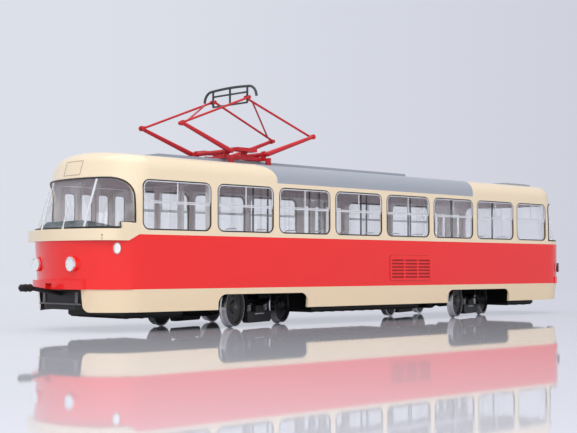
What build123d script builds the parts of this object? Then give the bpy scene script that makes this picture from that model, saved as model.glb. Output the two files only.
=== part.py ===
from build123d import *
from collections import namedtuple
import math
import os

# Collector's scale model of a single-ended bogie tram. Millimetres, +X forward, +Y the driver's left,
# +Z up, origin on the floor midway between the two coupler tips.

# Shell
WALL = 1.2
BODY_HALF_WIDTH = 29.05
EAVES_HALF_WIDTH = 28.95
SKIRT_HALF_WIDTH = 28.6
SKIRT_BOTTOM_Z = 7.75
WAIST_BOTTOM_Z = 16.6
WAIST_TOP_Z = 37.9
EAVES_Z = 61.2
ROOF_TOP_Z = 70.9
ROOF_CROWN_RADIUS = 170.0
ROOF_EDGE_RADIUS = 6.4
PANEL_BOW = 40.0
PANEL_CORNER = 19.0
FRONT_JOINT_X = 140.6
REAR_JOINT_X = -134.6
ROOF_FRONT_JOINT_X = 67.0
ROOF_REAR_JOINT_X = -69.35
FIT_GAP = 0.1

# Side windows and doors
WINDOW_BOTTOM_Z = 39.8
WINDOW_TOP_Z = 59.4
WINDOW_CORNER = 3.0
BAY_WIDTH = 31.3
BAY_PITCH = 34.7
SECOND_BAY_X = 85.2
FIRST_BAY_X = 121.6
FIRST_BAY_WIDTH = 34.5
LAST_BAY_X = -120.4
LAST_BAY_WIDTH = 26.5
RAIL_Z = 50.4
RAIL_SIZE = 0.5
GLASS_INSET = 0.35
GLASS_THICKNESS = 0.6
DOOR_BOTTOM_Z = 9.2
DOOR_LEAVES = 4
DOOR_INSET = 0.4
DOOR_THICKNESS = 0.8
LEAF_GAP = 0.3
LEAF_STILE = 1.5
LEAF_PANEL_TOP_Z = 27.0
LEAF_CORNER = 0.7

# Driver's end
SCREEN_BOTTOM_Z = 39.9
SCREEN_SIDE_BOTTOM_Z = 42.4
SCREEN_TOP_Z = 60.0
SCREEN_REAR_X = 142.4
SCREEN_STEP_X = 148.6
SCREEN_CORNER = 7.5
REAR_WINDOW_CORNER = 3.75
SCREEN_POST_Y = 14.6
SCREEN_POST_WIDTH = 0.9
WIPER_BASE_HEIGHT = 0.9
WIPER_BOSS_RADIUS = 0.5
WIPER_ARM_RADIUS = 0.25
WIPER_STANDOFF = 0.5
LEDGE_BOTTOM_Z = 35.4
LEDGE_NOSE_X = 162.8
LEDGE_BOW = 54.0
LEDGE_CORNER = 10.0
LEDGE_SIDE_OUTSET = 0.25
LEDGE_END_X = 145.5
BUMPER_HEIGHT = 3.5
BUMPER_DEPTH = 2.3
BUMPER_HALF_WIDTH = 17.2
BUMPER_NOTCH = 4.5
BUMPER_STRIP_DEPTH = 0.5
BUMPER_STRIP_LENGTH = 17.0
LAMP_Y = 12.3
LAMP_Z = 26.4
LAMP_RADIUS = 2.8
LAMP_ROOT_RADIUS = 3.3
LAMP_LENGTH = 8.4
LAMP_FACE_X = 161.1
LAMP_RIM_DEPTH = 0.8
LAMP_RIM_WIDTH = 0.4
CORNER_LAMP_Z = 32.4
CORNER_LAMP_TURN = 62.0
CORNER_LAMP_LENGTH = 3.8
CORNER_LAMP_WIDTH = 2.2
TAIL_LAMP_Z = 25.2
TAIL_LAMP_LENGTH = 5.0
TAIL_LAMP_WIDTH = 4.6
LENS_DEPTH = 1.1

# Vent grille
VENT_X = (-35.5, -5.3)
VENT_Z = (19.0, 30.9)
VENT_THICKNESS = 0.3
VENT_CORNER = 1.6
VENT_BORDER = 1.2
VENT_FIELDS = 3
VENT_SLOTS = 6

# Underframe
FLOOR_BOTTOM_Z = 17.3
FLOOR_THICKNESS = 1.5
NOTCH_HALF_WIDTH = 14.8
NOTCH_CORNER = 2.8
APRON_DEPTH = 10.0
APRON_BOTTOM_Z = 8.6
ARCH_WIDTH = 51.4
ARCH_TOP_Z = 14.1
ARCH_CORNER = 4.0
ARCH_WALL = 0.5
BOX_BOTTOM_Z = 5.0
BOX_HALF_WIDTH = 19.5
BOX_CHAMFER = 1.0
COUPLER_TIP_X = 175.6
COUPLER_Z = 17.2
COUPLER_DROP = 2.6
COUPLER_BAR_RADIUS = 0.85
COUPLER_KNOB_RADIUS = 1.4
COUPLER_KNOB_LENGTH = 6.0
COUPLER_KNOB_CHAMFER = 0.7

# Saloon and cab
SEAT_WIDTH = 9.0
SEAT_PITCH = 17.3
SEAT_HEIGHT = 10.0
SEAT_BACK_TOP = 21.0
SEAT_DEPTH = 8.0
SEAT_PLATE = 1.4
SEAT_WALL_GAP = 1.0
SEATS_A_SIDE = 12
POLE_RADIUS = 0.45
POLE_Y = 14.0
PARTITION_X = 104.0
PARTITION_THICKNESS = 1.2
PARTITION_DOOR_HALF_WIDTH = 6.5
PARTITION_WAIST_Z = 38.0
PARTITION_BORDER = 3.0
DESK_REAR_X = 146.0
DESK_TOP_Z = 40.6

# Bogies, turned to their stop
PIVOT_X = 74.4
BOGIE_TURN = 20.0
BOGIE_SWEEP = 37.0
WHEELBASE = 44.2
TREAD_RADIUS = 8.15
FLANGE_HEIGHT = 0.45
FLANGE_WIDTH = 0.8
TREAD_CONE = 0.1
WHEEL_WIDTH = 2.9
WHEEL_BACK_Y = 16.6
WHEEL_RIM_RADIUS = 6.85
WHEEL_HUB_RADIUS = 2.45
WHEEL_DISH = 0.8
AXLE_RADIUS = 1.5
RUNNING_GAP = 0.05
BEAM_Y = 10.6
BEAM_WIDTH = 2.6
BEAM_HEIGHT = 5.0
BEAM_OVERHANG = 3.75
PIN_RADIUS = 3.0
CENTRE_PLATE_RADIUS = 6.0
PLATE_GAP = 0.3
MOTOR_RADIUS = 4.0
GEAR_CASE_HALF_LENGTH = 3.75
GEAR_CASE_ROUND = 1.5
BRAKE_LENGTH = 22.0
BRAKE_Y = 18.0
BRAKE_WIDTH = 2.8
BRAKE_BOTTOM_Z = 1.5
BRAKE_HEIGHT = 4.6
BRAKE_CHAMFER = 1.15
BRAKE_HANGER_LENGTH = 7.3

# Roof fittings
BOARD_FRONT_X = 115.0
BOARD_REAR_X = -42.0
BOARD_HALF_WIDTH = 7.5
BOARD_TOP_Z = 72.2
ROOF_BOX_X = (-148.0, -125.0)
ROOF_BOX_HALF_WIDTH = 9.0
ROOF_BOX_TOP_Z = 71.9

# Pantograph linkage
PANTO_X = 69.2
PANTO_BASE_Z = 75.45
PANTO_BASE_SPREAD = 10.9
LOWER_ARM = 29.1
LOWER_ANGLE = 19.5
LOWER_BASE_Y = 12.9
LOWER_ARM_Y = 14.2
UPPER_ARM = 41.07
UPPER_ARM_Y = 12.6
FRONT_APEX_Y = 12.75
REAR_APEX_Y = 10.45
SHAFT_RADIUS = 0.95
ARM_ROOT_RADIUS = 1.15
ARM_TIP_RADIUS = 0.8
TUBE_RADIUS = 0.5
BOSS_RADIUS = 0.85
BOSS_WIDTH = 0.9
PIN_OF_ARM_RADIUS = 0.45
BRACE_RADIUS = 0.4
BRACE_INSET = 0.1
EYE_RADIUS = 1.15
EYE_THICKNESS = 1.2

# Collector head and pantograph base
HEAD_POST_Y = 11.6
HEAD_EYE_RADIUS = 1.0
HEAD_EYE_THICKNESS = 0.7
HEAD_LOWER_BAR_DROP = 2.2
HEAD_STRIP_Z = 104.8
HEAD_STRIP_HALF = 13.0
HEAD_STRIP_BOW = 0.5
HEAD_STRIP_RADIUS = 0.58
HORN_TIP_Y = 17.6
HORN_TIP_Z = 100.0
HEAD_BAR_RADIUS = 0.42
HEAD_POST_RADIUS = 0.48
BASE_RAIL_Y = 9.5
BASE_RAIL_SIZE = 1.6
BASE_BEAM_HEIGHT = 1.1
BASE_FOOT_Y = 13.4
BASE_FOOT_RADIUS = 1.1
BASE_FRAME_Z = 72.5
LUG_Y = 10.4
LUG_THICKNESS = 1.4
LUG_RADIUS = 1.5
SPRING_BOX_X = (-4.3, 7.3)
SPRING_BOX_Y = (9.0, 13.4)
SPRING_BOX_Z = (75.8, 77.4)
SPRING_BOX_WEB = 3.0

# Wipers on the ledge
Wiper = namedtuple("Wiper", "base_y tip_y tip_z")
WIPERS = [Wiper(4.4, 3.8, 49.8), Wiper(-11.9, -13.5, 56.5)]

# Level sections of the shell, from the skirt's hem to the top of the roof: each end has its furthest x, the
# radius of its bowed face and the radius of its corners. The window band is squarer at the driver's end.
End = namedtuple("End", "x bow corner")
Section = namedtuple("Section", "z half_width front rear")


def panel_end(x):
    """End of the tram that is shaped like the painted panels."""
    return End(x, PANEL_BOW, PANEL_CORNER)


HEM = Section(SKIRT_BOTTOM_Z, SKIRT_HALF_WIDTH, panel_end(159.4), panel_end(-157.8))
WAIST = Section(WAIST_BOTTOM_Z, BODY_HALF_WIDTH, panel_end(160.4), panel_end(-159.4))
BELT = Section(WAIST_TOP_Z, BODY_HALF_WIDTH, panel_end(162.0), panel_end(-160.0))
SILL = Section(WAIST_TOP_Z, BODY_HALF_WIDTH, End(159.4, 64.0, 10.0), panel_end(-159.6))
EAVES = Section(EAVES_Z, EAVES_HALF_WIDTH, End(152.75, 50.0, 15.0), panel_end(-152.8))
RIDGE = Section(ROOF_TOP_Z, EAVES_HALF_WIDTH, End(149.9, 50.0, 15.0), panel_end(-151.0))
FAR = 400.0

parts = {}


def block(x, y, z):
    """Box over the ranges x, y and z, each a low and high pair."""
    size = (x[1] - x[0], y[1] - y[0], z[1] - z[0])
    middle = ((x[0] + x[1]) / 2, (y[0] + y[1]) / 2, (z[0] + z[1]) / 2)
    return Pos(*middle) * Box(*size)


def rod(start, end, radius, end_radius=None):
    """Round bar from start to end, tapered where a second radius is given."""
    along = Vector(*end) - Vector(*start)
    seat = (Align.CENTER, Align.CENTER, Align.MIN)
    if end_radius is None:
        solid = Cylinder(radius, along.length, align=seat)
    else:
        solid = Cone(radius, end_radius, along.length, align=seat)
    return Plane(origin=start, z_dir=along) * solid


def cross_rod(x, y, z, radius):
    """Round bar across the tram over the range y."""
    return rod((x, y[0], z), (x, y[1], z), radius)


def about(middle, width):
    """Range of a given width about its middle."""
    return (middle - width / 2, middle + width / 2)


def side_prism(points, half_depth):
    """Solid of a side-view outline given as x, z points, as deep as wanted either side of the middle."""
    outline = Plane.XZ * make_face(Polyline(*points, close=True))
    return extrude(outline, half_depth, both=True)


def corner_centre(end, half_width, way):
    """Centre of an end's left corner arc, and the angle at which that arc meets the bowed face."""
    rise = half_width - end.corner
    run = math.sqrt((end.bow - end.corner) ** 2 - rise ** 2)
    return end.x - way * (end.bow - run), rise, math.atan2(rise, run)


def plan(section, outset=0.0):
    """Level outline of a section moved outwards: straight sides, round corners, bowed ends."""
    half = section.half_width + outset

    def end_points(end, way):
        end = End(end.x + way * outset, end.bow + outset, end.corner + outset)
        centre, rise, turn = corner_centre(end, half, way)
        middle = (turn + math.pi / 2) / 2
        side = (centre, half)
        bend = (centre + way * end.corner * math.cos(middle), rise + end.corner * math.sin(middle))
        face = (centre + way * end.corner * math.cos(turn), rise + end.corner * math.sin(turn))
        return side, bend, face, (end.x, 0)

    def right(point):
        return (point[0], -point[1])

    front_side, front_bend, front_face, nose = end_points(section.front, 1)
    rear_side, rear_bend, rear_face, tail = end_points(section.rear, -1)
    edges = [
        Line(rear_side, front_side),
        ThreePointArc(front_side, front_bend, front_face),
        ThreePointArc(front_face, nose, right(front_face)),
        ThreePointArc(right(front_face), right(front_bend), right(front_side)),
        Line(right(front_side), right(rear_side)),
        ThreePointArc(right(rear_side), right(rear_bend), right(rear_face)),
        ThreePointArc(right(rear_face), tail, rear_face),
        ThreePointArc(rear_face, rear_bend, rear_side),
    ]
    return Pos(0, 0, section.z) * make_face(edges)


def form(lower, upper, outset=0.0):
    """Solid between two sections, moved outwards."""
    return loft([plan(lower, outset), plan(upper, outset)], ruled=True)


def shell(lower, upper, outset=0.0, thickness=WALL):
    """Wall between two sections, its outer face moved outwards."""
    return form(lower, upper, outset) - form(lower, upper, outset - thickness)


def roof_form(outset=0.0):
    """Crowned roof over the eaves, leaning in at the ends, with a rounded edge all round."""
    top = ROOF_TOP_Z + outset
    body = form(EAVES, RIDGE._replace(z=top), outset)
    crown = Pos(0, 0, top - ROOF_CROWN_RADIUS) * Rot(0, 90, 0) * Cylinder(ROOF_CROWN_RADIUS, FAR)
    body = body & crown
    rim = body.faces().sort_by(Axis.Z)[-1].edges()
    return fillet(rim, ROOF_EDGE_RADIUS + outset)


def between(x0, x1, y0=-FAR, y1=FAR):
    """Space that keeps what lies between two planes across the tram."""
    return block((x0, x1), (y0, y1), (-FAR, FAR))


# Window and door openings, bay by bay from the driver's end
Bay = namedtuple("Bay", "middle width")
bays = [Bay(FIRST_BAY_X, FIRST_BAY_WIDTH)]
bays += [Bay(SECOND_BAY_X - BAY_PITCH * step, BAY_WIDTH) for step in range(6)]
bays += [Bay(LAST_BAY_X, LAST_BAY_WIDTH)]
door_bays = {"door_front": bays[0], "door_middle": bays[4], "door_rear": bays[7]}
right_bays = [bay for bay in bays if bay not in door_bays.values()]


def opening(bay, bottom, top, side, corner):
    """Round-cornered cutter for one bay, through the wall on one side."""
    body = block(about(bay.middle, bay.width), (BODY_HALF_WIDTH / 2, FAR / 4), (bottom, top))
    body = fillet(body.edges().filter_by(Axis.Y), corner)
    return body if side > 0 else mirror(body, about=Plane.XZ)


def window_cutter(bay, side):
    return opening(bay, WINDOW_BOTTOM_Z, WINDOW_TOP_Z, side, WINDOW_CORNER)


# Lower shell: skirts, thinner over the bogies to clear the wheels, then waist panels and end panels
skirt = shell(HEM, WAIST)
waist = shell(WAIST, BELT)
skirt_core = form(HEM, WAIST, -ARCH_WALL)
arches = []
for pivot in (PIVOT_X, -PIVOT_X):
    arch_x = about(pivot, ARCH_WIDTH)
    arch = block(arch_x, (-FAR, FAR), (-FAR, ARCH_TOP_Z))
    arches.append(fillet(arch.edges().filter_by(Axis.Y).sort_by(Axis.Z)[-2:], ARCH_CORNER))
    arches.append(skirt_core & between(*arch_x))
notch = block((-FAR, FAR), (-NOTCH_HALF_WIDTH, NOTCH_HALF_WIDTH), (-FAR, FAR))
flare = NOTCH_HALF_WIDTH + NOTCH_CORNER
lip_z = SKIRT_BOTTOM_Z + NOTCH_CORNER
for side in (1, -1):
    curve = rod((-FAR, side * flare, lip_z), (FAR, side * flare, lip_z), NOTCH_CORNER)
    lip = block((-FAR, FAR), sorted((side * NOTCH_HALF_WIDTH, side * flare)), (0, lip_z))
    notch = notch + (lip - curve)

door_cutters = [opening(bay, DOOR_BOTTOM_Z, WINDOW_TOP_Z, -1, LEAF_CORNER) for bay in door_bays.values()]
middle = (REAR_JOINT_X, FRONT_JOINT_X)
parts["skirt_left"] = (skirt & between(*middle, y0=0)) - arches
parts["skirt_right"] = (skirt & between(*middle, y1=0)) - arches - door_cutters
front_skirts = (skirt & between(FRONT_JOINT_X, FAR)) - notch
rear_skirts = (skirt & between(-FAR, REAR_JOINT_X)) - notch
parts["corner_skirts"] = Compound(front_skirts.solids() + rear_skirts.solids())
parts["side_panel_left"] = waist & between(*middle, y0=0)
parts["side_panel_right"] = (waist & between(*middle, y1=0)) - door_cutters
parts["front_panel"] = waist & between(FRONT_JOINT_X, FAR)
parts["rear_panel"] = waist & between(-FAR, REAR_JOINT_X)

# Window band with its glazing and the bars of the sliding panes
band = shell(SILL, EAVES)
glazing = shell(SILL, EAVES, -GLASS_INSET, GLASS_THICKNESS)
rails = shell(SILL, EAVES, RAIL_SIZE / 2 - GLASS_INSET, RAIL_SIZE / 2)
bars = []
for side, name, side_bays in ((1, "left", bays), (-1, "right", right_bays)):
    half = between(*middle, y0=0) if side > 0 else between(*middle, y1=0)
    cutters = [window_cutter(bay, side) for bay in side_bays]
    wall = (band & half) - cutters
    parts["window_wall_" + name] = wall if side > 0 else wall - door_cutters
    parts["side_glass_" + name] = Compound([glazing & cutter for cutter in cutters])
    for bay, cutter in zip(side_bays, cutters):
        across = block(about(bay.middle, bay.width), (-FAR, FAR), about(RAIL_Z, RAIL_SIZE))
        upright = block(about(bay.middle, RAIL_SIZE), (-FAR, FAR), (RAIL_Z, EAVES_Z))
        bars.append(rails & cutter & (across + upright))

# Wrap-round windscreen and rear window, cut by their side-view outlines
screen_outline = [
    (FAR, SCREEN_BOTTOM_Z),
    (SCREEN_STEP_X, SCREEN_BOTTOM_Z),
    (SCREEN_STEP_X, SCREEN_SIDE_BOTTOM_Z),
    (SCREEN_REAR_X, SCREEN_SIDE_BOTTOM_Z),
    (SCREEN_REAR_X, SCREEN_TOP_Z),
    (FAR, SCREEN_TOP_Z),
]
screen_cutter = side_prism(screen_outline, FAR)
screen_edges = screen_cutter.edges().filter_by(Axis.Y)
screen_edge = screen_edges.sort_by_distance((SCREEN_REAR_X, 0, SCREEN_TOP_Z))[0]
screen_cutter = fillet(screen_edge, SCREEN_CORNER)
rear_window_x = REAR_JOINT_X - (SCREEN_REAR_X - FRONT_JOINT_X)
rear_cutter = block((-FAR, rear_window_x), (-FAR, FAR), (SCREEN_BOTTOM_Z, SCREEN_TOP_Z))
rear_cutter = fillet(rear_cutter.edges().filter_by(Axis.Y).sort_by(Axis.X)[-2:], REAR_WINDOW_CORNER)
parts["front_window_frame"] = (band & between(FRONT_JOINT_X, FAR)) - screen_cutter
parts["rear_window_frame"] = (band & between(-FAR, REAR_JOINT_X)) - rear_cutter
parts["windscreen"] = glazing & between(FRONT_JOINT_X, FAR) & screen_cutter
parts["rear_window"] = glazing & between(-FAR, REAR_JOINT_X) & rear_cutter

for side in (1, -1):
    post_y = sorted((side * SCREEN_POST_Y, side * (SCREEN_POST_Y + SCREEN_POST_WIDTH)))
    bars.append(rails & screen_cutter & between(FRONT_JOINT_X, FAR, *post_y))
parts["window_bars"] = Compound(bars)

# Cream ledge round the driver's end, squarer in plan than the panel below it
ledge_plan = BELT._replace(
    z=LEDGE_BOTTOM_Z,
    half_width=BODY_HALF_WIDTH + LEDGE_SIDE_OUTSET,
    front=End(LEDGE_NOSE_X, LEDGE_BOW, LEDGE_CORNER),
)
ledge_body = extrude(plan(ledge_plan), SCREEN_SIDE_BOTTOM_Z - LEDGE_BOTTOM_Z)
ledge_outline = [
    (FAR, LEDGE_BOTTOM_Z),
    (LEDGE_END_X, LEDGE_BOTTOM_Z),
    (FRONT_JOINT_X, WAIST_TOP_Z),
    (FRONT_JOINT_X, SCREEN_BOTTOM_Z),
    (SCREEN_REAR_X, SCREEN_SIDE_BOTTOM_Z),
    (SCREEN_STEP_X, SCREEN_SIDE_BOTTOM_Z),
    (SCREEN_STEP_X, SCREEN_BOTTOM_Z),
    (FAR, SCREEN_BOTTOM_Z),
]
waist_form = form(WAIST, BELT)
parts["front_belt"] = (ledge_body & side_prism(ledge_outline, FAR)) - waist_form - form(SILL, EAVES)


def screen_x(y, z):
    """Place of the windscreen's outer face at a given y and height."""
    share = (z - SILL.z) / (EAVES.z - SILL.z)
    nose = SILL.front.x + share * (EAVES.front.x - SILL.front.x)
    bow = SILL.front.bow + share * (EAVES.front.bow - SILL.front.bow)
    return nose - bow + math.sqrt(bow ** 2 - y ** 2)


wipers = []
for wiper in WIPERS:
    base_top = SCREEN_BOTTOM_Z + WIPER_BASE_HEIGHT
    base_x = screen_x(wiper.base_y, SCREEN_BOTTOM_Z) + WIPER_STANDOFF
    tip = (screen_x(wiper.tip_y, wiper.tip_z) + WIPER_STANDOFF, wiper.tip_y, wiper.tip_z)
    boss = rod((base_x, wiper.base_y, SCREEN_BOTTOM_Z), (base_x, wiper.base_y, base_top), WIPER_BOSS_RADIUS)
    arm = rod((base_x, wiper.base_y, base_top - WIPER_BOSS_RADIUS), tip, WIPER_ARM_RADIUS)
    wipers.append(boss + arm)
parts["wipers"] = Compound(wipers)

# Roof shell in three panels, with the walkway board along its middle
roof_outer = roof_form()
roof = roof_outer - roof_form(-WALL)
parts["roof_front"] = roof & between(ROOF_FRONT_JOINT_X, FAR)
parts["roof_middle"] = roof & between(ROOF_REAR_JOINT_X, ROOF_FRONT_JOINT_X)
parts["roof_rear"] = roof & between(-FAR, ROOF_REAR_JOINT_X)
board = block((BOARD_REAR_X, BOARD_FRONT_X), (-BOARD_HALF_WIDTH, BOARD_HALF_WIDTH), (EAVES_Z, BOARD_TOP_Z))
parts["roof_board"] = board - roof_outer
roof_box = block(ROOF_BOX_X, (-ROOF_BOX_HALF_WIDTH, ROOF_BOX_HALF_WIDTH), (EAVES_Z, ROOF_BOX_TOP_Z))
parts["roof_box"] = roof_box - roof_outer

# Folding doors on the kerb side: each leaf is a framed panel with a tall pane
door_skin = shell(HEM, WAIST, -DOOR_INSET, DOOR_THICKNESS)
door_skin += shell(WAIST, SILL, -DOOR_INSET, DOOR_THICKNESS)
door_skin += shell(SILL, EAVES, -DOOR_INSET, DOOR_THICKNESS)
pane_inset = DOOR_INSET + DOOR_THICKNESS / 4
pane_skin = shell(WAIST, SILL, -pane_inset, DOOR_THICKNESS / 2)
pane_skin += shell(SILL, EAVES, -pane_inset, DOOR_THICKNESS / 2)
door_panes = []
for name, bay in door_bays.items():
    leaf_width = bay.width / DOOR_LEAVES
    leaves = []
    for leaf in range(DOOR_LEAVES):
        leaf_x = bay.middle - bay.width / 2 + leaf_width * (leaf + 0.5)
        outline = Bay(leaf_x, leaf_width - LEAF_GAP)
        pane = Bay(leaf_x, leaf_width - LEAF_GAP - 2 * LEAF_STILE)
        edge = LEAF_GAP / 2
        plate = opening(outline, DOOR_BOTTOM_Z + edge, WINDOW_TOP_Z - edge, -1, LEAF_CORNER)
        hole = opening(pane, LEAF_PANEL_TOP_Z, WINDOW_TOP_Z - 2 * LEAF_STILE, -1, LEAF_STILE)
        leaves.append((door_skin & plate) - hole)
        door_panes.append(pane_skin & hole)
    parts[name] = Compound(leaves)
parts["door_glass"] = Compound(door_panes)

# Louvred vent on the driver's left: a thin plate with fields of slots
vent = block(VENT_X, (BODY_HALF_WIDTH, BODY_HALF_WIDTH + VENT_THICKNESS), VENT_Z)
vent = fillet(vent.edges().filter_by(Axis.Y), VENT_CORNER)
field_width = (VENT_X[1] - VENT_X[0] - (VENT_FIELDS + 1) * VENT_BORDER) / VENT_FIELDS
slot_pitch = (VENT_Z[1] - VENT_Z[0] - 2 * VENT_BORDER) / VENT_SLOTS
for field in range(VENT_FIELDS):
    left = VENT_X[0] + VENT_BORDER + field * (field_width + VENT_BORDER)
    for slot in range(VENT_SLOTS):
        low = VENT_Z[0] + VENT_BORDER + slot * slot_pitch
        vent -= block((left, left + field_width), (0, FAR), (low, low + slot_pitch / 2))
parts["vent_grille"] = vent

# Bumpers: a deep bar across each end, running out into a thin strip round the corners
bumper_top = WAIST_BOTTOM_Z + BUMPER_HEIGHT
bumper = extrude(plan(WAIST, BUMPER_DEPTH), BUMPER_HEIGHT)
bumper &= between(-FAR, FAR, -BUMPER_HALF_WIDTH, BUMPER_HALF_WIDTH)
bumper -= block((-FAR, FAR), (-BUMPER_NOTCH / 2, BUMPER_NOTCH / 2), (-FAR, bumper_top - WALL))
strip = extrude(plan(WAIST, BUMPER_STRIP_DEPTH), BUMPER_HEIGHT)
strip -= between(WAIST.rear.x + BUMPER_STRIP_LENGTH, WAIST.front.x - BUMPER_STRIP_LENGTH)
parts["bumpers"] = Compound((bumper + strip - waist_form).solids())

# Headlamps in round housings, and the lamp glasses standing out of the corners
housings = []
rims = []
lenses = []
for side in (1, -1):
    seat_x = LAMP_FACE_X - LAMP_RIM_DEPTH
    seat = (seat_x, side * LAMP_Y, LAMP_Z)
    face = (LAMP_FACE_X, side * LAMP_Y, LAMP_Z)
    lens_face = (LAMP_FACE_X - LAMP_RIM_DEPTH / 2, side * LAMP_Y, LAMP_Z)
    root = (seat_x - LAMP_LENGTH, side * LAMP_Y, LAMP_Z)
    housings.append(rod(root, seat, LAMP_ROOT_RADIUS, LAMP_RADIUS) - waist_form)
    rims.append(rod(seat, face, LAMP_RADIUS) - rod(seat, face, LAMP_RADIUS - LAMP_RIM_WIDTH))
    lenses.append(rod(seat, lens_face, LAMP_RADIUS - LAMP_RIM_WIDTH))
parts["headlamp_housings"] = Compound(housings)
parts["headlamp_rims"] = Compound(rims)
parts["headlamp_lenses"] = Compound(lenses)


def corner_lamp(end, way, side, height, length, width):
    """Oval lamp glass standing out of a rounded corner of the body."""
    angle = math.radians(CORNER_LAMP_TURN)
    out = Vector(way * math.cos(angle), side * math.sin(angle), 0)
    centre_x, rise, _ = corner_centre(end, BODY_HALF_WIDTH, way)
    root = Vector(centre_x, side * rise, height) + out * (PANEL_CORNER - 2 * LENS_DEPTH)
    face = Plane(origin=root, z_dir=out, x_dir=(0, 0, 1))
    glass = extrude(face * Ellipse(length / 2, width / 2), 3 * LENS_DEPTH)
    return glass - waist_form


turn_lamps = []
tail_lamps = []
for side in (1, -1):
    turn_lamps.append(corner_lamp(BELT.front, 1, side, CORNER_LAMP_Z, CORNER_LAMP_LENGTH, CORNER_LAMP_WIDTH))
    tail_lamps.append(corner_lamp(BELT.rear, -1, side, TAIL_LAMP_Z, TAIL_LAMP_LENGTH, TAIL_LAMP_WIDTH))
parts["turn_lamps"] = Compound(turn_lamps)
parts["tail_lamps"] = Compound(tail_lamps)

# Couplers: a bar from the apron to a knob, and the black apron between the skirt's ends that carries it
couplers = []
aprons = []
for way, hem_x in ((1, HEM.front.x), (-1, -HEM.rear.x)):
    apron_x = hem_x - 2 * WALL
    root = (way * (apron_x - APRON_DEPTH / 2), 0, WAIST_BOTTOM_Z - COUPLER_DROP)
    knob_x = COUPLER_TIP_X - COUPLER_KNOB_LENGTH
    knob = rod((way * knob_x, 0, COUPLER_Z), (way * COUPLER_TIP_X, 0, COUPLER_Z), COUPLER_KNOB_RADIUS)
    knob = chamfer(knob.edges().filter_by(GeomType.CIRCLE), COUPLER_KNOB_CHAMFER)
    coupler = rod(root, (way * (knob_x + COUPLER_KNOB_RADIUS), 0, COUPLER_Z), COUPLER_BAR_RADIUS) + knob
    couplers.append(coupler)
    x_range = sorted((way * (apron_x - APRON_DEPTH), way * apron_x))
    half = NOTCH_HALF_WIDTH - PLATE_GAP
    plate = block(x_range, (-half, half), (APRON_BOTTOM_Z, WAIST_BOTTOM_Z)) & form(HEM, WAIST, -WALL)
    aprons.append(plate - coupler)
parts["couplers"] = Compound(couplers)
parts["aprons"] = Compound(aprons)

# Floor pan with the bogie pivots, and the equipment boxes hung beneath it
floor = extrude(plan(WAIST._replace(z=FLOOR_BOTTOM_Z), -WALL - FIT_GAP), FLOOR_THICKNESS)
floor_top = FLOOR_BOTTOM_Z + FLOOR_THICKNESS
for pivot in (PIVOT_X, -PIVOT_X):
    floor -= rod((pivot, 0, 0), (pivot, 0, FAR), PIN_RADIUS + RUNNING_GAP)
parts["floor_pan"] = floor

boxes = []
for box_x in (
    (REAR_JOINT_X, -PIVOT_X - BOGIE_SWEEP),
    (-PIVOT_X + BOGIE_SWEEP, PIVOT_X - BOGIE_SWEEP),
    (PIVOT_X + BOGIE_SWEEP, FRONT_JOINT_X),
):
    box = block(box_x, (-BOX_HALF_WIDTH, BOX_HALF_WIDTH), (BOX_BOTTOM_Z, FLOOR_BOTTOM_Z))
    boxes.append(chamfer(box.edges().group_by(Axis.Z)[0], BOX_CHAMFER))
parts["underfloor_boxes"] = Compound(boxes)


# Seats, poles and the driver's cab
def seat_at(x, side):
    """One moulded seat on a pedestal, facing forward."""
    pan_top = floor_top + SEAT_HEIGHT
    pan_bottom = pan_top - SEAT_PLATE
    back_top = floor_top + SEAT_BACK_TOP
    front = x + SEAT_DEPTH / 2
    rear = x - SEAT_DEPTH / 2
    outline = [
        (rear - SEAT_PLATE, back_top),
        (rear, pan_top),
        (front, pan_top),
        (front, pan_bottom),
        (x + SEAT_PLATE, pan_bottom),
        (x + SEAT_PLATE, floor_top),
        (x - SEAT_PLATE, floor_top),
        (x - SEAT_PLATE, pan_bottom),
        (rear - SEAT_PLATE, pan_bottom),
        (rear - 2 * SEAT_PLATE, back_top),
    ]
    y = BODY_HALF_WIDTH - WALL - SEAT_WALL_GAP - SEAT_WIDTH / 2
    return Pos(0, side * y, 0) * side_prism(outline, SEAT_WIDTH / 2)


def clear_of_doors(x):
    return all(abs(x - bay.middle) > bay.width / 2 + SEAT_DEPTH for bay in door_bays.values())


left_seats = [SECOND_BAY_X + SEAT_PITCH / 2 - SEAT_PITCH * step for step in range(SEATS_A_SIDE)]
seats = [seat_at(x, 1) for x in left_seats]
seats += [seat_at(x, -1) for x in left_seats if clear_of_doors(x)]
parts["seats"] = Compound(seats)

ceiling_z = ROOF_TOP_Z - WALL - POLE_Y ** 2 / (2 * ROOF_CROWN_RADIUS) - 2 * FIT_GAP
poles = []
for step in range(6):
    pole_x = SECOND_BAY_X - BAY_PITCH * (step + 0.5)
    for y in (POLE_Y, -POLE_Y):
        poles.append(rod((pole_x, y, floor_top), (pole_x, y, ceiling_z), POLE_RADIUS))
parts["grab_poles"] = Compound(poles)

inside = -WALL - FIT_GAP
partition = block((PARTITION_X - PARTITION_THICKNESS, PARTITION_X), (-FAR, FAR), (floor_top, EAVES_Z - WALL))
partition = partition & (form(WAIST, SILL, inside) + form(SILL, EAVES, inside))
doorway = block((0, FAR), (-PARTITION_DOOR_HALF_WIDTH, PARTITION_DOOR_HALF_WIDTH), (floor_top, WINDOW_TOP_Z))
pane_y = (PARTITION_DOOR_HALF_WIDTH + PARTITION_BORDER, BODY_HALF_WIDTH - WALL - PARTITION_BORDER)
left_pane = block((0, FAR), pane_y, (PARTITION_WAIST_Z, WINDOW_TOP_Z))
parts["cab_partition"] = partition - doorway - left_pane - mirror(left_pane, about=Plane.XZ)

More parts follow.
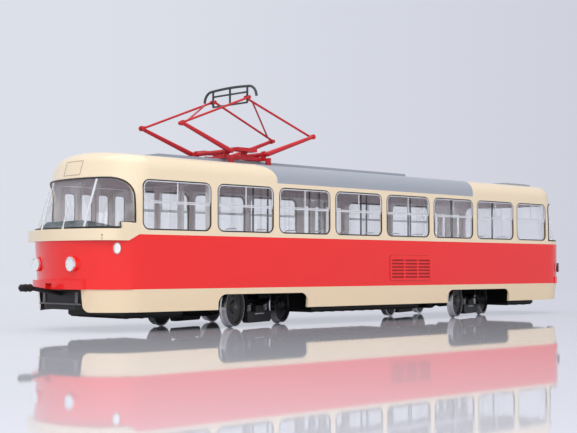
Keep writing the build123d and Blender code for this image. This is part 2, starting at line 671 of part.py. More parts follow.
desk = block((DESK_REAR_X, FAR), (-FAR, FAR), (floor_top, DESK_TOP_Z))
desk_low = desk & form(WAIST, BELT, inside) & extrude(plan(SILL._replace(z=floor_top), inside), FAR)
desk_high = desk & form(SILL, EAVES, inside) & extrude(plan(BELT._replace(z=floor_top), inside), FAR)
parts["driver_desk"] = desk_low + desk_high

# Bogies: inside frames, motors and track brakes, all built about the pivot and then turned
axle_z = TREAD_RADIUS + FLANGE_HEIGHT
axle_xs = (WHEELBASE / 2, -WHEELBASE / 2)
beam_end = WHEELBASE / 2 + BEAM_OVERHANG
beam_z = about(axle_z, BEAM_HEIGHT)
plate_top = FLOOR_BOTTOM_Z - PLATE_GAP
gear_half_y = BEAM_Y - BEAM_WIDTH / 2 - MOTOR_RADIUS


def bogie_frame():
    """Two side beams, a cross bolster, the centre plate and the pivot pin."""
    bolster_z = (beam_z[0], beam_z[1] + BEAM_WIDTH)
    frame = block((-CENTRE_PLATE_RADIUS, CENTRE_PLATE_RADIUS), (-BEAM_Y, BEAM_Y), bolster_z)
    for side in (1, -1):
        frame += block((-beam_end, beam_end), about(side * BEAM_Y, BEAM_WIDTH), beam_z)
    frame += rod((0, 0, beam_z[1]), (0, 0, plate_top), CENTRE_PLATE_RADIUS)
    frame += rod((0, 0, beam_z[1]), (0, 0, floor_top), PIN_RADIUS)
    for x in axle_xs:
        frame -= cross_rod(x, (-FAR, FAR), axle_z, AXLE_RADIUS + RUNNING_GAP)
    return frame


def motors():
    """Two motors in line with the track, each with the gear case on its axle."""
    cases = []
    for way, x in zip((1, -1), axle_xs):
        case_z = about(axle_z, 2 * MOTOR_RADIUS)
        case = block(about(x, 2 * GEAR_CASE_HALF_LENGTH), (-gear_half_y, gear_half_y), case_z)
        case = fillet(case.edges().filter_by(Axis.Y), GEAR_CASE_ROUND)
        motor_end = x - way * (GEAR_CASE_HALF_LENGTH - RUNNING_GAP)
        motor = rod((way * CENTRE_PLATE_RADIUS, 0, axle_z), (motor_end, 0, axle_z), MOTOR_RADIUS)
        cases.append(case + motor - cross_rod(x, (-FAR, FAR), axle_z, AXLE_RADIUS + RUNNING_GAP))
    return Compound(cases)


def track_brakes():
    """A shoe between the wheels on each side, on a hanger from the side beam."""
    shoes = []
    brake_top = BRAKE_BOTTOM_Z + BRAKE_HEIGHT
    for side in (1, -1):
        shoe = block(about(0, BRAKE_LENGTH), about(side * BRAKE_Y, BRAKE_WIDTH), (BRAKE_BOTTOM_Z, brake_top))
        shoe = chamfer(shoe.edges().filter_by(Axis.Y).group_by(Axis.Z)[0], BRAKE_CHAMFER)
        reach = sorted((side * (BEAM_Y + BEAM_WIDTH / 2), side * (BRAKE_Y + BRAKE_WIDTH / 2)))
        shoe += block(about(0, BRAKE_HANGER_LENGTH), reach, (brake_top, axle_z))
        shoes.append(shoe)
    return Compound(shoes)


def wheelset():
    """Axle with two flanged wheels, turned in one revolve about its own middle."""
    face_y = WHEEL_BACK_Y + WHEEL_WIDTH
    half = [
        (AXLE_RADIUS, 0),
        (AXLE_RADIUS, WHEEL_BACK_Y),
        (TREAD_RADIUS + FLANGE_HEIGHT, WHEEL_BACK_Y),
        (TREAD_RADIUS + FLANGE_HEIGHT, WHEEL_BACK_Y + FLANGE_WIDTH / 2),
        (TREAD_RADIUS, WHEEL_BACK_Y + FLANGE_WIDTH),
        (TREAD_RADIUS - TREAD_CONE, face_y),
        (WHEEL_RIM_RADIUS, face_y),
        (WHEEL_RIM_RADIUS - WHEEL_DISH / 2, face_y - WHEEL_DISH),
        (WHEEL_HUB_RADIUS + WHEEL_DISH / 2, face_y - WHEEL_DISH),
        (WHEEL_HUB_RADIUS, face_y),
        (0, face_y),
    ]
    outline = half + [(radius, -y) for radius, y in reversed(half[1:])]
    return revolve(make_face(Polyline(*outline, close=True)), Axis.Y)


for name, pivot in (("front", PIVOT_X), ("rear", -PIVOT_X)):
    place = Pos(pivot, 0, 0) * Rot(0, 0, BOGIE_TURN)
    parts[f"bogie_{name}_frame"] = place * bogie_frame()
    parts[f"bogie_{name}_motors"] = place * motors()
    parts[f"bogie_{name}_track_brakes"] = place * track_brakes()
    for number, x in enumerate(axle_xs, 1):
        parts[f"wheelset_{name}_{number}"] = place * Pos(x, 0, axle_z) * wheelset()

# Pantograph linkage: the arms of each half, meeting on one apex axis over the middle of the base
lower_turn = math.radians(LOWER_ANGLE)
knuckle_spread = PANTO_BASE_SPREAD + LOWER_ARM * math.cos(lower_turn)
knuckle_z = PANTO_BASE_Z + LOWER_ARM * math.sin(lower_turn)
apex_z = knuckle_z + math.sqrt(UPPER_ARM ** 2 - knuckle_spread ** 2)
eye_bore = PIN_OF_ARM_RADIUS + RUNNING_GAP
shaft_reach = LOWER_BASE_Y + ARM_ROOT_RADIUS

for name, way, apex_y in (("front", 1, FRONT_APEX_Y), ("rear", -1, REAR_APEX_Y)):
    base_x = PANTO_X + way * PANTO_BASE_SPREAD
    knuckle_x = PANTO_X + way * knuckle_spread
    lower = cross_rod(base_x, (-shaft_reach, shaft_reach), PANTO_BASE_Z, SHAFT_RADIUS)
    for side in (1, -1):
        root = (base_x, side * LOWER_BASE_Y, PANTO_BASE_Z)
        tip = (knuckle_x, side * LOWER_ARM_Y, knuckle_z)
        eye_y = about(side * LOWER_ARM_Y, EYE_THICKNESS)
        lower += rod(root, tip, ARM_ROOT_RADIUS, ARM_TIP_RADIUS)
        lower += cross_rod(knuckle_x, eye_y, knuckle_z, EYE_RADIUS)
        lower -= cross_rod(knuckle_x, about(side * LOWER_ARM_Y, 2 * EYE_THICKNESS), knuckle_z, eye_bore)
    parts[f"pantograph_lower_{name}"] = lower

    upper = Part()
    ends = {}
    for side in (1, -1):
        knuckle = Vector(knuckle_x, side * UPPER_ARM_Y, knuckle_z)
        apex = Vector(PANTO_X, side * apex_y, apex_z)
        ends[side] = (knuckle, apex)
        pin_y = sorted((side * UPPER_ARM_Y, side * (LOWER_ARM_Y + EYE_THICKNESS / 2)))
        upper += rod(knuckle, apex, TUBE_RADIUS)
        upper += cross_rod(knuckle_x, about(side * UPPER_ARM_Y, BOSS_WIDTH), knuckle_z, BOSS_RADIUS)
        upper += cross_rod(PANTO_X, about(side * apex_y, BOSS_WIDTH), apex_z, BOSS_RADIUS)
        upper += cross_rod(knuckle_x, pin_y, knuckle_z, PIN_OF_ARM_RADIUS)
        if way > 0:
            pin_y = sorted((side * (HEAD_POST_Y - HEAD_EYE_THICKNESS / 2), side * apex_y))
            upper += cross_rod(PANTO_X, pin_y, apex_z, PIN_OF_ARM_RADIUS)
    brace_low = ends[way][0] + (ends[way][1] - ends[way][0]) * BRACE_INSET
    brace_top = ends[-way][1] + (ends[-way][0] - ends[-way][1]) * BRACE_INSET
    parts[f"pantograph_upper_{name}"] = upper + rod(brace_low, brace_top, BRACE_RADIUS)

# Collector head: posts with eyes on the apex pins, two bars, and the bowed strip with its curved horns
low_bar_z = apex_z - HEAD_LOWER_BAR_DROP
mid_bar_z = (apex_z + HEAD_STRIP_Z) / 2
bar_y = (-HEAD_POST_Y, HEAD_POST_Y)
head = cross_rod(PANTO_X, bar_y, low_bar_z, HEAD_BAR_RADIUS)
head += cross_rod(PANTO_X, bar_y, mid_bar_z, HEAD_BAR_RADIUS)
for y in (-HEAD_POST_Y, 0, HEAD_POST_Y):
    head += rod((PANTO_X, y, low_bar_z), (PANTO_X, y, HEAD_STRIP_Z), HEAD_POST_RADIUS)
for y in (-HEAD_POST_Y, HEAD_POST_Y):
    head += cross_rod(PANTO_X, about(y, HEAD_EYE_THICKNESS), apex_z, HEAD_EYE_RADIUS)
    head -= cross_rod(PANTO_X, about(y, 2 * HEAD_EYE_THICKNESS), apex_z, eye_bore)
right_end = (PANTO_X, -HEAD_STRIP_HALF, HEAD_STRIP_Z)
left_end = (PANTO_X, HEAD_STRIP_HALF, HEAD_STRIP_Z)
strip_path = ThreePointArc(right_end, (PANTO_X, 0, HEAD_STRIP_Z + HEAD_STRIP_BOW), left_end)
horn_path = TangentArc(left_end, (PANTO_X, HORN_TIP_Y, HORN_TIP_Z), tangent=strip_path % 1)
for path in (strip_path, horn_path):
    swept = sweep(Plane(origin=path @ 0, z_dir=path % 0) * Circle(HEAD_STRIP_RADIUS), path=path)
    head += swept
head += mirror(swept, about=Plane.XZ)
parts["pantograph_head"] = head

# Base frame of the pantograph on four feet, with lugs for the shafts and a spring box on each side
frame_z = (BASE_FRAME_Z, BASE_FRAME_Z + BASE_RAIL_SIZE)
rail_length = 2 * (PANTO_BASE_SPREAD + EYE_RADIUS)
box_x = (PANTO_X + SPRING_BOX_X[0], PANTO_X + SPRING_BOX_X[1])
base = Part()
for side in (1, -1):
    base += block(about(PANTO_X, rail_length), about(side * BASE_RAIL_Y, BASE_RAIL_SIZE), frame_z)
    base += block(box_x, sorted((side * SPRING_BOX_Y[0], side * SPRING_BOX_Y[1])), SPRING_BOX_Z)
    web_z = (BASE_FRAME_Z, SPRING_BOX_Z[0])
    base += block(about(PANTO_X, SPRING_BOX_WEB), about(side * BASE_RAIL_Y, BASE_RAIL_SIZE / 2), web_z)
for way in (1, -1):
    x = PANTO_X + way * PANTO_BASE_SPREAD
    beam_x = about(x, BASE_RAIL_SIZE)
    beam_y = about(0, 2 * (BASE_FOOT_Y + BASE_FOOT_RADIUS))
    base += block(beam_x, beam_y, (BASE_FRAME_Z, BASE_FRAME_Z + BASE_BEAM_HEIGHT))
    for side in (1, -1):
        lug_y = about(side * LUG_Y, LUG_THICKNESS)
        base += rod((x, side * BASE_FOOT_Y, EAVES_Z), (x, side * BASE_FOOT_Y, BASE_FRAME_Z), BASE_FOOT_RADIUS)
        base += block(beam_x, lug_y, (BASE_FRAME_Z, PANTO_BASE_Z))
        base += cross_rod(x, lug_y, PANTO_BASE_Z, LUG_RADIUS)
    base -= cross_rod(x, (-FAR, FAR), PANTO_BASE_Z, SHAFT_RADIUS + RUNNING_GAP)
parts["pantograph_base"] = base - roof_outer

os.makedirs("parts", exist_ok=True)
for name, shape in parts.items():
    export_step(shape, f"parts/{name}.step")
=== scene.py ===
import math

import bpy
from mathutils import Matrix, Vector
from mathutils.bvhtree import BVHTree


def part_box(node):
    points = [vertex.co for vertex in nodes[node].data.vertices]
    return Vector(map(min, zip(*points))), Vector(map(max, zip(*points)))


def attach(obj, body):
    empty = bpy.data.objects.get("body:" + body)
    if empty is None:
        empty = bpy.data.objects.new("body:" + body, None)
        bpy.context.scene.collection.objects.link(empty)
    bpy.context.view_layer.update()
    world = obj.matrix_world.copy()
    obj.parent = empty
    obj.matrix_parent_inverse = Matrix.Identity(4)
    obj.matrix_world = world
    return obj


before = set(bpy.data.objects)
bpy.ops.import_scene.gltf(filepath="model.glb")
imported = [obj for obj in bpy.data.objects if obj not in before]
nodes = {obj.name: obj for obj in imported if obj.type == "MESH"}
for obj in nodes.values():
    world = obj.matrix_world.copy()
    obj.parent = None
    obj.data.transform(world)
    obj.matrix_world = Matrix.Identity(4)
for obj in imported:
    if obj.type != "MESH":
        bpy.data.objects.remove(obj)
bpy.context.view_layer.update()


# Studio sheet and lamps
# A glossy pale acrylic sheet that fades into the backdrop, broad soft lamps from the driver's end and from
# above, and a camera just above the sheet, off the front left corner. None of it belongs to the tram.
def add_node(tree, kind, inputs=None, **settings):
    """Node of a shader or geometry tree; each input takes a plain value or another node's output."""
    made = tree.nodes.new(kind)
    for key, value in settings.items():
        setattr(made, key, value)
    for socket, value in (inputs or {}).items():
        if isinstance(value, bpy.types.NodeSocket):
            tree.links.new(value, made.inputs[socket])
        else:
            made.inputs[socket].default_value = value
    return made


def shader_of(name, values):
    """New material, its tree and its Principled shader with plain values on the shader's own sockets."""
    material = bpy.data.materials.new(name)
    material.use_nodes = True
    shader = material.node_tree.nodes["Principled BSDF"]
    for socket, value in values.items():
        shader.inputs[socket].default_value = value
    return material, material.node_tree, shader


def mesh_object(name, points, edges=(), faces=()):
    mesh = bpy.data.meshes.new(name)
    mesh.from_pydata(points, edges, faces)
    made = bpy.data.objects.new(name, mesh)
    bpy.context.scene.collection.objects.link(made)
    return made


sheet_half = 6.0
sheet_fade = (0.45, 2.4)
sheet_corners = [(x, y, 0) for x, y in ((-1, -1), (1, -1), (1, 1), (-1, 1))]
sheet = mesh_object("studio_sheet", [Vector(c) * sheet_half for c in sheet_corners], faces=[(0, 1, 2, 3)])
sheet_look, sheet_tree, sheet_shader = shader_of(
    "pale_acrylic", {"Base Color": (0.66, 0.67, 0.73, 1), "Roughness": 0.035, "IOR": 1.3}
)
sheet_place = add_node(sheet_tree, "ShaderNodeTexCoord").outputs["Object"]
sheet_reach = add_node(sheet_tree, "ShaderNodeVectorMath", {0: sheet_place}, operation="LENGTH")
sheet_alpha = add_node(
    sheet_tree,
    "ShaderNodeMapRange",
    {
        "Value": sheet_reach.outputs["Value"],
        "From Min": sheet_fade[0],
        "From Max": sheet_fade[1],
        "To Min": 1.0,
        "To Max": 0.0,
    },
    interpolation_type="SMOOTHSTEP",
)
sheet_tree.links.new(sheet_alpha.outputs[0], sheet_shader.inputs["Alpha"])
sheet.data.materials.append(sheet_look)

camera_place = Vector((0.416161, 0.399181, 0.024736))
camera_way = Vector((-0.69189, -0.72066, 0.04399))
camera_lens = 74.1
picture_width = 577
picture_rise = 0.5
camera_data = bpy.data.cameras.new("photo_camera")
camera_data.lens = camera_lens
camera_data.sensor_width = 36.0
camera_data.clip_start = 0.01
camera_data.shift_y = -picture_rise / picture_width
camera = bpy.data.objects.new("photo_camera", camera_data)
bpy.context.scene.collection.objects.link(camera)
camera.location = camera_place
camera.rotation_euler = camera_way.to_track_quat("-Z", "Y").to_euler()
bpy.context.scene.camera = camera
bpy.context.scene.view_settings.view_transform = "Standard"

# The backdrop is paler ahead of the tram than behind it, and is seen by the eye, in gloss and through glass alone
backdrop_pale = (0.72, 0.745, 0.815, 1)
backdrop_dim = (0.60, 0.615, 0.70, 1)
backdrop_way = Vector((0.72, -0.69, 0.0))
ambient_colour = (0.95, 0.96, 1.0, 1)
ambient_level = 0.55
world = bpy.data.worlds.new("studio_world")
bpy.context.scene.world = world
world.use_nodes = True
sky = world.node_tree
sky.nodes.clear()
rays = add_node(sky, "ShaderNodeLightPath")
seen = add_node(
    sky, "ShaderNodeMath", {0: rays.outputs["Is Camera Ray"], 1: rays.outputs["Is Glossy Ray"]}, operation="ADD"
)
seen = add_node(
    sky,
    "ShaderNodeMath",
    {0: seen.outputs[0], 1: rays.outputs["Is Transmission Ray"]},
    operation="ADD",
    use_clamp=True,
)
sky_way = add_node(
    sky,
    "ShaderNodeVectorMath",
    {0: add_node(sky, "ShaderNodeTexCoord").outputs["Generated"], 1: backdrop_way},
    operation="DOT_PRODUCT",
)
sky_share = add_node(
    sky, "ShaderNodeMapRange", {"Value": sky_way.outputs["Value"], "From Min": -0.35, "From Max": 0.15}
)
sky_tone = add_node(
    sky, "ShaderNodeMix", {0: sky_share.outputs[0], 6: backdrop_dim, 7: backdrop_pale}, data_type="RGBA"
)
ambient = add_node(sky, "ShaderNodeBackground", {"Color": ambient_colour, "Strength": ambient_level})
backdrop = add_node(sky, "ShaderNodeBackground", {"Color": sky_tone.outputs[2], "Strength": 1.0})
both = add_node(sky, "ShaderNodeMixShader", {0: seen.outputs[0], 1: ambient.outputs[0], 2: backdrop.outputs[0]})
add_node(sky, "ShaderNodeOutputWorld", {"Surface": both.outputs[0]})

# Lamp name, place, size, watts
lamps = [
    ("front_softbox", (0.95, 0.55, 0.55), 0.8, 5.0),
    ("side_softbox", (0.32, 1.1, 0.42), 0.9, 4.0),
    ("back_softbox", (-0.1, -1.1, 0.6), 0.9, 2.5),
    ("top_softbox", (0.10, 0.0, 1.15), 1.2, 6.0),
]
for lamp_name, lamp_place, lamp_size, lamp_watts in lamps:
    lamp_data = bpy.data.lights.new(lamp_name, "AREA")
    lamp_data.shape = "SQUARE"
    lamp_data.size = lamp_size
    lamp_data.energy = lamp_watts
    lamp = bpy.data.objects.new(lamp_name, lamp_data)
    bpy.context.scene.collection.objects.link(lamp)
    lamp.location = lamp_place
    lamp.rotation_euler = (-Vector(lamp_place)).to_track_quat("-Z", "Y").to_euler()
    lamp.visible_glossy = lamp_name == "top_softbox"


# Painted shell
# Moulded plastic panels sprayed in gloss cream, red and satin grey, clipped edge to edge on the floor pan.
# Inside, the same mouldings are plain mauve grey; behind the skirts they are painted black as shade.
def group_of(name, inputs, outputs):
    """Empty shader group with named sockets: its tree, its input node and its output node."""
    tree = bpy.data.node_groups.new(name, "ShaderNodeTree")
    for socket, kind in inputs.items():
        tree.interface.new_socket(socket, in_out="INPUT", socket_type=kind)
    for socket, kind in outputs.items():
        tree.interface.new_socket(socket, in_out="OUTPUT", socket_type=kind)
    return tree, tree.nodes.new("NodeGroupInput"), tree.nodes.new("NodeGroupOutput")


def mix_colours(tree, factor, first, second):
    mix = add_node(tree, "ShaderNodeMix", {0: factor, 6: first, 7: second}, data_type="RGBA")
    return mix.outputs[2]


def calculate(tree, operation, first, second=0.0):
    return add_node(tree, "ShaderNodeMath", {0: first, 1: second}, operation=operation).outputs[0]


def place_in(tree):
    """The x, y and z outputs of a point's place on the tram."""
    place = add_node(tree, "ShaderNodeTexCoord").outputs["Object"]
    return add_node(tree, "ShaderNodeSeparateXYZ", {0: place}).outputs


# Sprayed coat: broad patches of a slightly deeper tone, a faint orange peel and a gloss that wanders a little
coat, coat_in, coat_out = group_of(
    "sprayed_coat",
    {
        "Paint": "NodeSocketColor",
        "Deeper Paint": "NodeSocketColor",
        "Patch Scale": "NodeSocketFloat",
        "Peel Scale": "NodeSocketFloat",
        "Gloss": "NodeSocketFloat",
    },
    {"Color": "NodeSocketColor", "Roughness": "NodeSocketFloat", "Height": "NodeSocketFloat"},
)
coat_place = add_node(coat, "ShaderNodeTexCoord").outputs["Object"]
coat_patch = add_node(
    coat, "ShaderNodeTexNoise", {"Vector": coat_place, "Scale": coat_in.outputs["Patch Scale"], "Detail": 3.0}
)
coat_peel = add_node(
    coat, "ShaderNodeTexNoise", {"Vector": coat_place, "Scale": coat_in.outputs["Peel Scale"], "Detail": 2.0}
)
coat_tone = mix_colours(coat, coat_patch.outputs[0], coat_in.outputs["Paint"], coat_in.outputs["Deeper Paint"])
coat_wander = calculate(coat, "MULTIPLY", coat_patch.outputs[0], 0.06)
coat.links.new(coat_tone, coat_out.inputs["Color"])
coat.links.new(calculate(coat, "ADD", coat_in.outputs["Gloss"], coat_wander), coat_out.inputs["Roughness"])
coat.links.new(coat_peel.outputs[0], coat_out.inputs["Height"])

# Saloon side: marks the faces of a wall or roof that look into the tram
saloon_end_x = 0.136
eaves_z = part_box("roof_middle")[0].z
saloon, saloon_in, saloon_out = group_of("saloon_side", {}, {"Mask": "NodeSocketFloat"})
saloon_place = place_in(saloon)
saloon_normal = add_node(
    saloon, "ShaderNodeSeparateXYZ", {0: add_node(saloon, "ShaderNodeNewGeometry").outputs["Normal"]}
).outputs
saloon_past = calculate(saloon, "SUBTRACT", calculate(saloon, "ABSOLUTE", saloon_place["X"]), saloon_end_x)
saloon_past = calculate(saloon, "MAXIMUM", saloon_past, 0.0)
saloon_past = calculate(saloon, "MULTIPLY", saloon_past, calculate(saloon, "SIGN", saloon_place["X"]))
saloon_along = calculate(saloon, "MULTIPLY", saloon_past, saloon_normal["X"])
saloon_across = calculate(saloon, "MULTIPLY", saloon_place["Y"], saloon_normal["Y"])
saloon_wall = calculate(saloon, "LESS_THAN", calculate(saloon, "ADD", saloon_along, saloon_across), -0.003)
saloon_ceiling = calculate(saloon, "LESS_THAN", saloon_normal["Z"], -0.35)
saloon_high = calculate(saloon, "GREATER_THAN", saloon_place["Z"], eaves_z)
saloon_ceiling = calculate(saloon, "MULTIPLY", saloon_ceiling, saloon_high)
saloon.links.new(calculate(saloon, "MAXIMUM", saloon_wall, saloon_ceiling), saloon_out.inputs["Mask"])

cream = (0.86, 0.72, 0.52, 1)
cream_deeper = (0.83, 0.68, 0.475, 1)
# A still deeper cream for the skirts' patches: painted shade on the low skirts.
skirt_shade_deeper = (0.80, 0.635, 0.42, 1)
red = (0.88, 0.016, 0.013, 1)
red_deeper = (0.84, 0.013, 0.011, 1)
roof_grey = (0.36, 0.385, 0.435, 1)
roof_grey_deeper = (0.33, 0.355, 0.405, 1)
mauve_grey = (0.90, 0.83, 0.85, 1)
# Black on the skirts' inner faces is painted shade under the body.
skirt_inside_shade_black = (0.012, 0.012, 0.013, 1)


def sprayed(name, paint, deeper, gloss, inside=None, second=None, second_where=None):
    """Gloss paint, with bare moulding inside or a second paint where a mask says so."""
    material, tree, shader = shader_of(
        name, {"IOR": 1.5, "Coat Weight": 0.35, "Coat Roughness": 0.06, "Coat IOR": 1.5}
    )
    layer = add_node(tree, "ShaderNodeGroup", node_tree=coat)
    layer.inputs["Paint"].default_value = paint
    layer.inputs["Deeper Paint"].default_value = deeper
    layer.inputs["Patch Scale"].default_value = 18.0
    layer.inputs["Peel Scale"].default_value = 900.0
    layer.inputs["Gloss"].default_value = gloss
    tone = layer.outputs["Color"]
    dull = layer.outputs["Roughness"]
    if second is not None:
        tone = mix_colours(tree, second_where(tree), tone, second)
    if inside is not None:
        mask = add_node(tree, "ShaderNodeGroup", node_tree=saloon).outputs["Mask"]
        tone = mix_colours(tree, mask, tone, inside)
        dull = calculate(tree, "ADD", dull, calculate(tree, "MULTIPLY", mask, 0.3))
    tree.links.new(tone, shader.inputs["Base Color"])
    tree.links.new(dull, shader.inputs["Roughness"])
    bump = add_node(
        tree, "ShaderNodeBump", {"Height": layer.outputs["Height"], "Strength": 0.12, "Distance": 0.00002}
    )
    tree.links.new(bump.outputs[0], shader.inputs["Normal"])
    return material


def finish_nodes(material, *names):
    """Gives CAD nodes their finish."""
    for name in names:
        nodes[name].data.materials.clear()
        nodes[name].data.materials.append(material)


def above_waist(tree):
    """Mask of what lies above the red panels."""
    return calculate(tree, "GREATER_THAN", place_in(tree)["Z"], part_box("side_panel_left")[1].z)


grey_tip_x = 0.128
grey_half_width = 0.0245
grey_tip_radius = 0.012
grey_arc_x = 0.0763
grey_arc_z = 0.0621
grey_arc_length = 0.009
grey_arc_height = 0.0065


def over_ceiling(tree):
    """Mask of the grey that runs forward over the front roof and comes down to the joint in a quarter round."""
    x, y, z = (place_in(tree)[axis] for axis in "XYZ")
    ahead = calculate(tree, "SUBTRACT", x, grey_tip_x - grey_tip_radius)
    aside = calculate(tree, "SUBTRACT", calculate(tree, "ABSOLUTE", y), grey_half_width - grey_tip_radius)
    ahead = calculate(tree, "POWER", calculate(tree, "MAXIMUM", ahead, 0.0), 2.0)
    aside = calculate(tree, "POWER", calculate(tree, "MAXIMUM", aside, 0.0), 2.0)
    top = calculate(tree, "LESS_THAN", calculate(tree, "ADD", ahead, aside), grey_tip_radius ** 2)
    back = calculate(tree, "MULTIPLY", calculate(tree, "SUBTRACT", grey_arc_x, x), 1 / grey_arc_length)
    rise = calculate(tree, "MULTIPLY", calculate(tree, "SUBTRACT", z, grey_arc_z), 1 / grey_arc_height)
    back = calculate(tree, "POWER", calculate(tree, "MAXIMUM", back, 0.0), 2.0)
    rise = calculate(tree, "POWER", calculate(tree, "MAXIMUM", rise, 0.0), 2.0)
    corner = calculate(tree, "GREATER_THAN", calculate(tree, "ADD", back, rise), 1.0)
    near = calculate(tree, "LESS_THAN", x, grey_arc_x)
    return calculate(tree, "MAXIMUM", top, calculate(tree, "MULTIPLY", corner, near))


cream_gloss = sprayed("cream_gloss", cream, cream_deeper, 0.22, mauve_grey)
# The skirts take a deeper cream than the rest of the body, painted shade on the low skirts, and their inner faces
# are painted black as shade.
cream_skirt = sprayed("cream_skirt", cream_deeper, skirt_shade_deeper, 0.22, skirt_inside_shade_black)
cream_roof = sprayed("cream_roof", cream, cream_deeper, 0.22, mauve_grey, roof_grey, over_ceiling)
red_gloss = sprayed("red_gloss", red, red_deeper, 0.2, mauve_grey)
red_fittings = sprayed("red_fittings", red, red_deeper, 0.2)
door_two_tone = sprayed("door_two_tone", red, red_deeper, 0.22, mauve_grey, cream, above_waist)
grey_satin = sprayed("grey_satin", roof_grey, roof_grey_deeper, 0.42, mauve_grey)
grey_fittings = sprayed("grey_fittings", roof_grey, roof_grey_deeper, 0.45)
finish_nodes(cream_gloss, "window_wall_left", "window_wall_right", "front_window_frame", "rear_window_frame")
finish_nodes(cream_gloss, "front_belt", "roof_rear")
finish_nodes(cream_roof, "roof_front")
finish_nodes(cream_skirt, "skirt_left", "skirt_right", "corner_skirts")
finish_nodes(red_gloss, "side_panel_left", "side_panel_right", "front_panel", "rear_panel")
finish_nodes(red_fittings, "bumpers", "headlamp_housings", "vent_grille")
finish_nodes(door_two_tone, "door_front", "door_middle", "door_rear")
finish_nodes(grey_satin, "roof_middle")
finish_nodes(grey_fittings, "roof_board", "roof_box")

# Glazing
# Clear moulded strips pushed into the openings from inside, thin enough to see through both sides of the car.
# A trace of grey in the moulding and its gloss show only at a slant.
clear_glazing, glazing_tree, glazing_shader = shader_of(
    "clear_glazing", {"Transmission Weight": 1.0, "IOR": 1.3, "Roughness": 0.03, "Alpha": 0.14}
)
glazing_place = add_node(glazing_tree, "ShaderNodeTexCoord").outputs["Object"]
glazing_flow = add_node(
    glazing_tree, "ShaderNodeTexNoise", {"Vector": glazing_place, "Scale": 60.0, "Detail": 1.0}
)
glazing_bump = add_node(
    glazing_tree, "ShaderNodeBump", {"Height": glazing_flow.outputs[0], "Strength": 0.05, "Distance": 0.0001}
)
glazing_tree.links.new(glazing_bump.outputs[0], glazing_shader.inputs["Normal"])
glazing_tint = mix_colours(glazing_tree, glazing_flow.outputs[0], (0.94, 0.955, 0.97, 1), (0.90, 0.92, 0.95, 1))
glazing_tree.links.new(glazing_tint, glazing_shader.inputs["Base Color"])
finish_nodes(clear_glazing, "side_glass_left", "side_glass_right", "windscreen", "rear_window", "door_glass")


# Window rubbers and sash frames
# Each bay has a black rubber round its opening and, in its upper half, a bright metal sash frame that slides
# behind the rubber. Rubber and frame are rings bent to the opening and pressed into its edge.
def modifier_tree(name, inputs):
    """Geometry tree with a mesh input, named sizes and a finished mesh output."""
    tree = bpy.data.node_groups.new(name, "GeometryNodeTree")
    tree.interface.new_socket("Geometry", in_out="INPUT", socket_type="NodeSocketGeometry")
    for socket, kind in inputs.items():
        tree.interface.new_socket(socket, in_out="INPUT", socket_type=kind)
    tree.interface.new_socket("Finish", in_out="INPUT", socket_type="NodeSocketMaterial")
    tree.interface.new_socket("Geometry", in_out="OUTPUT", socket_type="NodeSocketGeometry")
    return tree, tree.nodes.new("NodeGroupInput"), tree.nodes.new("NodeGroupOutput")


def end_tree(tree, start, end, geometry, smooth=True):
    """Realizes what is instanced, shades it and gives it the finish named by the tree's input."""
    real = add_node(tree, "GeometryNodeRealizeInstances", {0: geometry})
    shaded = add_node(tree, "GeometryNodeSetShadeSmooth", {"Geometry": real.outputs[0], "Shade Smooth": smooth})
    dressed = add_node(
        tree,
        "GeometryNodeSetMaterial",
        {"Geometry": shaded.outputs[0], "Material": start.outputs["Finish"]},
    )
    tree.links.new(dressed.outputs[0], end.inputs[0])


def column(tree, name, kind="FLOAT"):
    """Number or vector that each point of the seed carries under a name."""
    return add_node(tree, "GeometryNodeInputNamedAttribute", {"Name": name}, data_type=kind).outputs[0]


def made_by(tree, seed, body, slot, **sizes):
    """Runs a geometry tree on a seed object, keeps the result as a plain mesh and rides it on a body."""
    modifier = seed.modifiers.new(tree.name, "NODES")
    modifier.node_group = tree
    for item in tree.interface.items_tree:
        key = item.name.lower().replace(" ", "_")
        if item.in_out == "INPUT" and key in sizes:
            modifier[item.identifier] = sizes[key]
    graph = bpy.context.evaluated_depsgraph_get()
    mesh = bpy.data.meshes.new_from_object(seed.evaluated_get(graph))
    seed.modifiers.clear()
    seed.data = mesh
    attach(seed, body)
    return seed


def carry(seed, **columns):
    """Writes one number or vector for each point of a seed, for a tree to read by name."""
    for name, values in columns.items():
        vector = isinstance(values[0], Vector)
        written = seed.data.attributes.new(name, "FLOAT_VECTOR" if vector else "FLOAT", "POINT")
        for item, value in zip(written.data, values):
            if vector:
                item.vector = value
            else:
                item.value = value


ring_tree, ring_in, ring_out = modifier_tree(
    "window_ring",
    {
        "Height": "NodeSocketFloat",
        "Top Corner": "NodeSocketFloat",
        "Foot Corner": "NodeSocketFloat",
        "Split Z": "NodeSocketFloat",
        "Bar Radius": "NodeSocketFloat",
    },
)
ring_square = add_node(ring_tree, "GeometryNodeCurvePrimitiveQuadrilateral", {"Width": 1.0, "Height": 1.0})
ring_turn = add_node(ring_tree, "ShaderNodeCombineXYZ", {"X": column(ring_tree, "lean")})
ring_scale = add_node(
    ring_tree, "ShaderNodeCombineXYZ", {"X": column(ring_tree, "width"), "Y": ring_in.outputs["Height"], "Z": 1.0}
)
ring_rotation = add_node(ring_tree, "FunctionNodeEulerToRotation", {0: ring_turn.outputs[0]})
ring_copies = add_node(
    ring_tree,
    "GeometryNodeInstanceOnPoints",
    {
        "Points": ring_in.outputs["Geometry"],
        "Instance": ring_square.outputs[0],
        "Rotation": ring_rotation.outputs[0],
        "Scale": ring_scale.outputs[0],
    },
)
ring_real = add_node(ring_tree, "GeometryNodeRealizeInstances", {0: ring_copies.outputs[0]})
ring_height = add_node(
    ring_tree, "ShaderNodeSeparateXYZ", {0: add_node(ring_tree, "GeometryNodeInputPosition").outputs[0]}
)
ring_is_top = calculate(ring_tree, "GREATER_THAN", ring_height.outputs["Z"], ring_in.outputs["Split Z"])
ring_radius = add_node(
    ring_tree,
    "ShaderNodeMix",
    {0: ring_is_top, 2: ring_in.outputs["Foot Corner"], 3: ring_in.outputs["Top Corner"]},
    data_type="FLOAT",
)
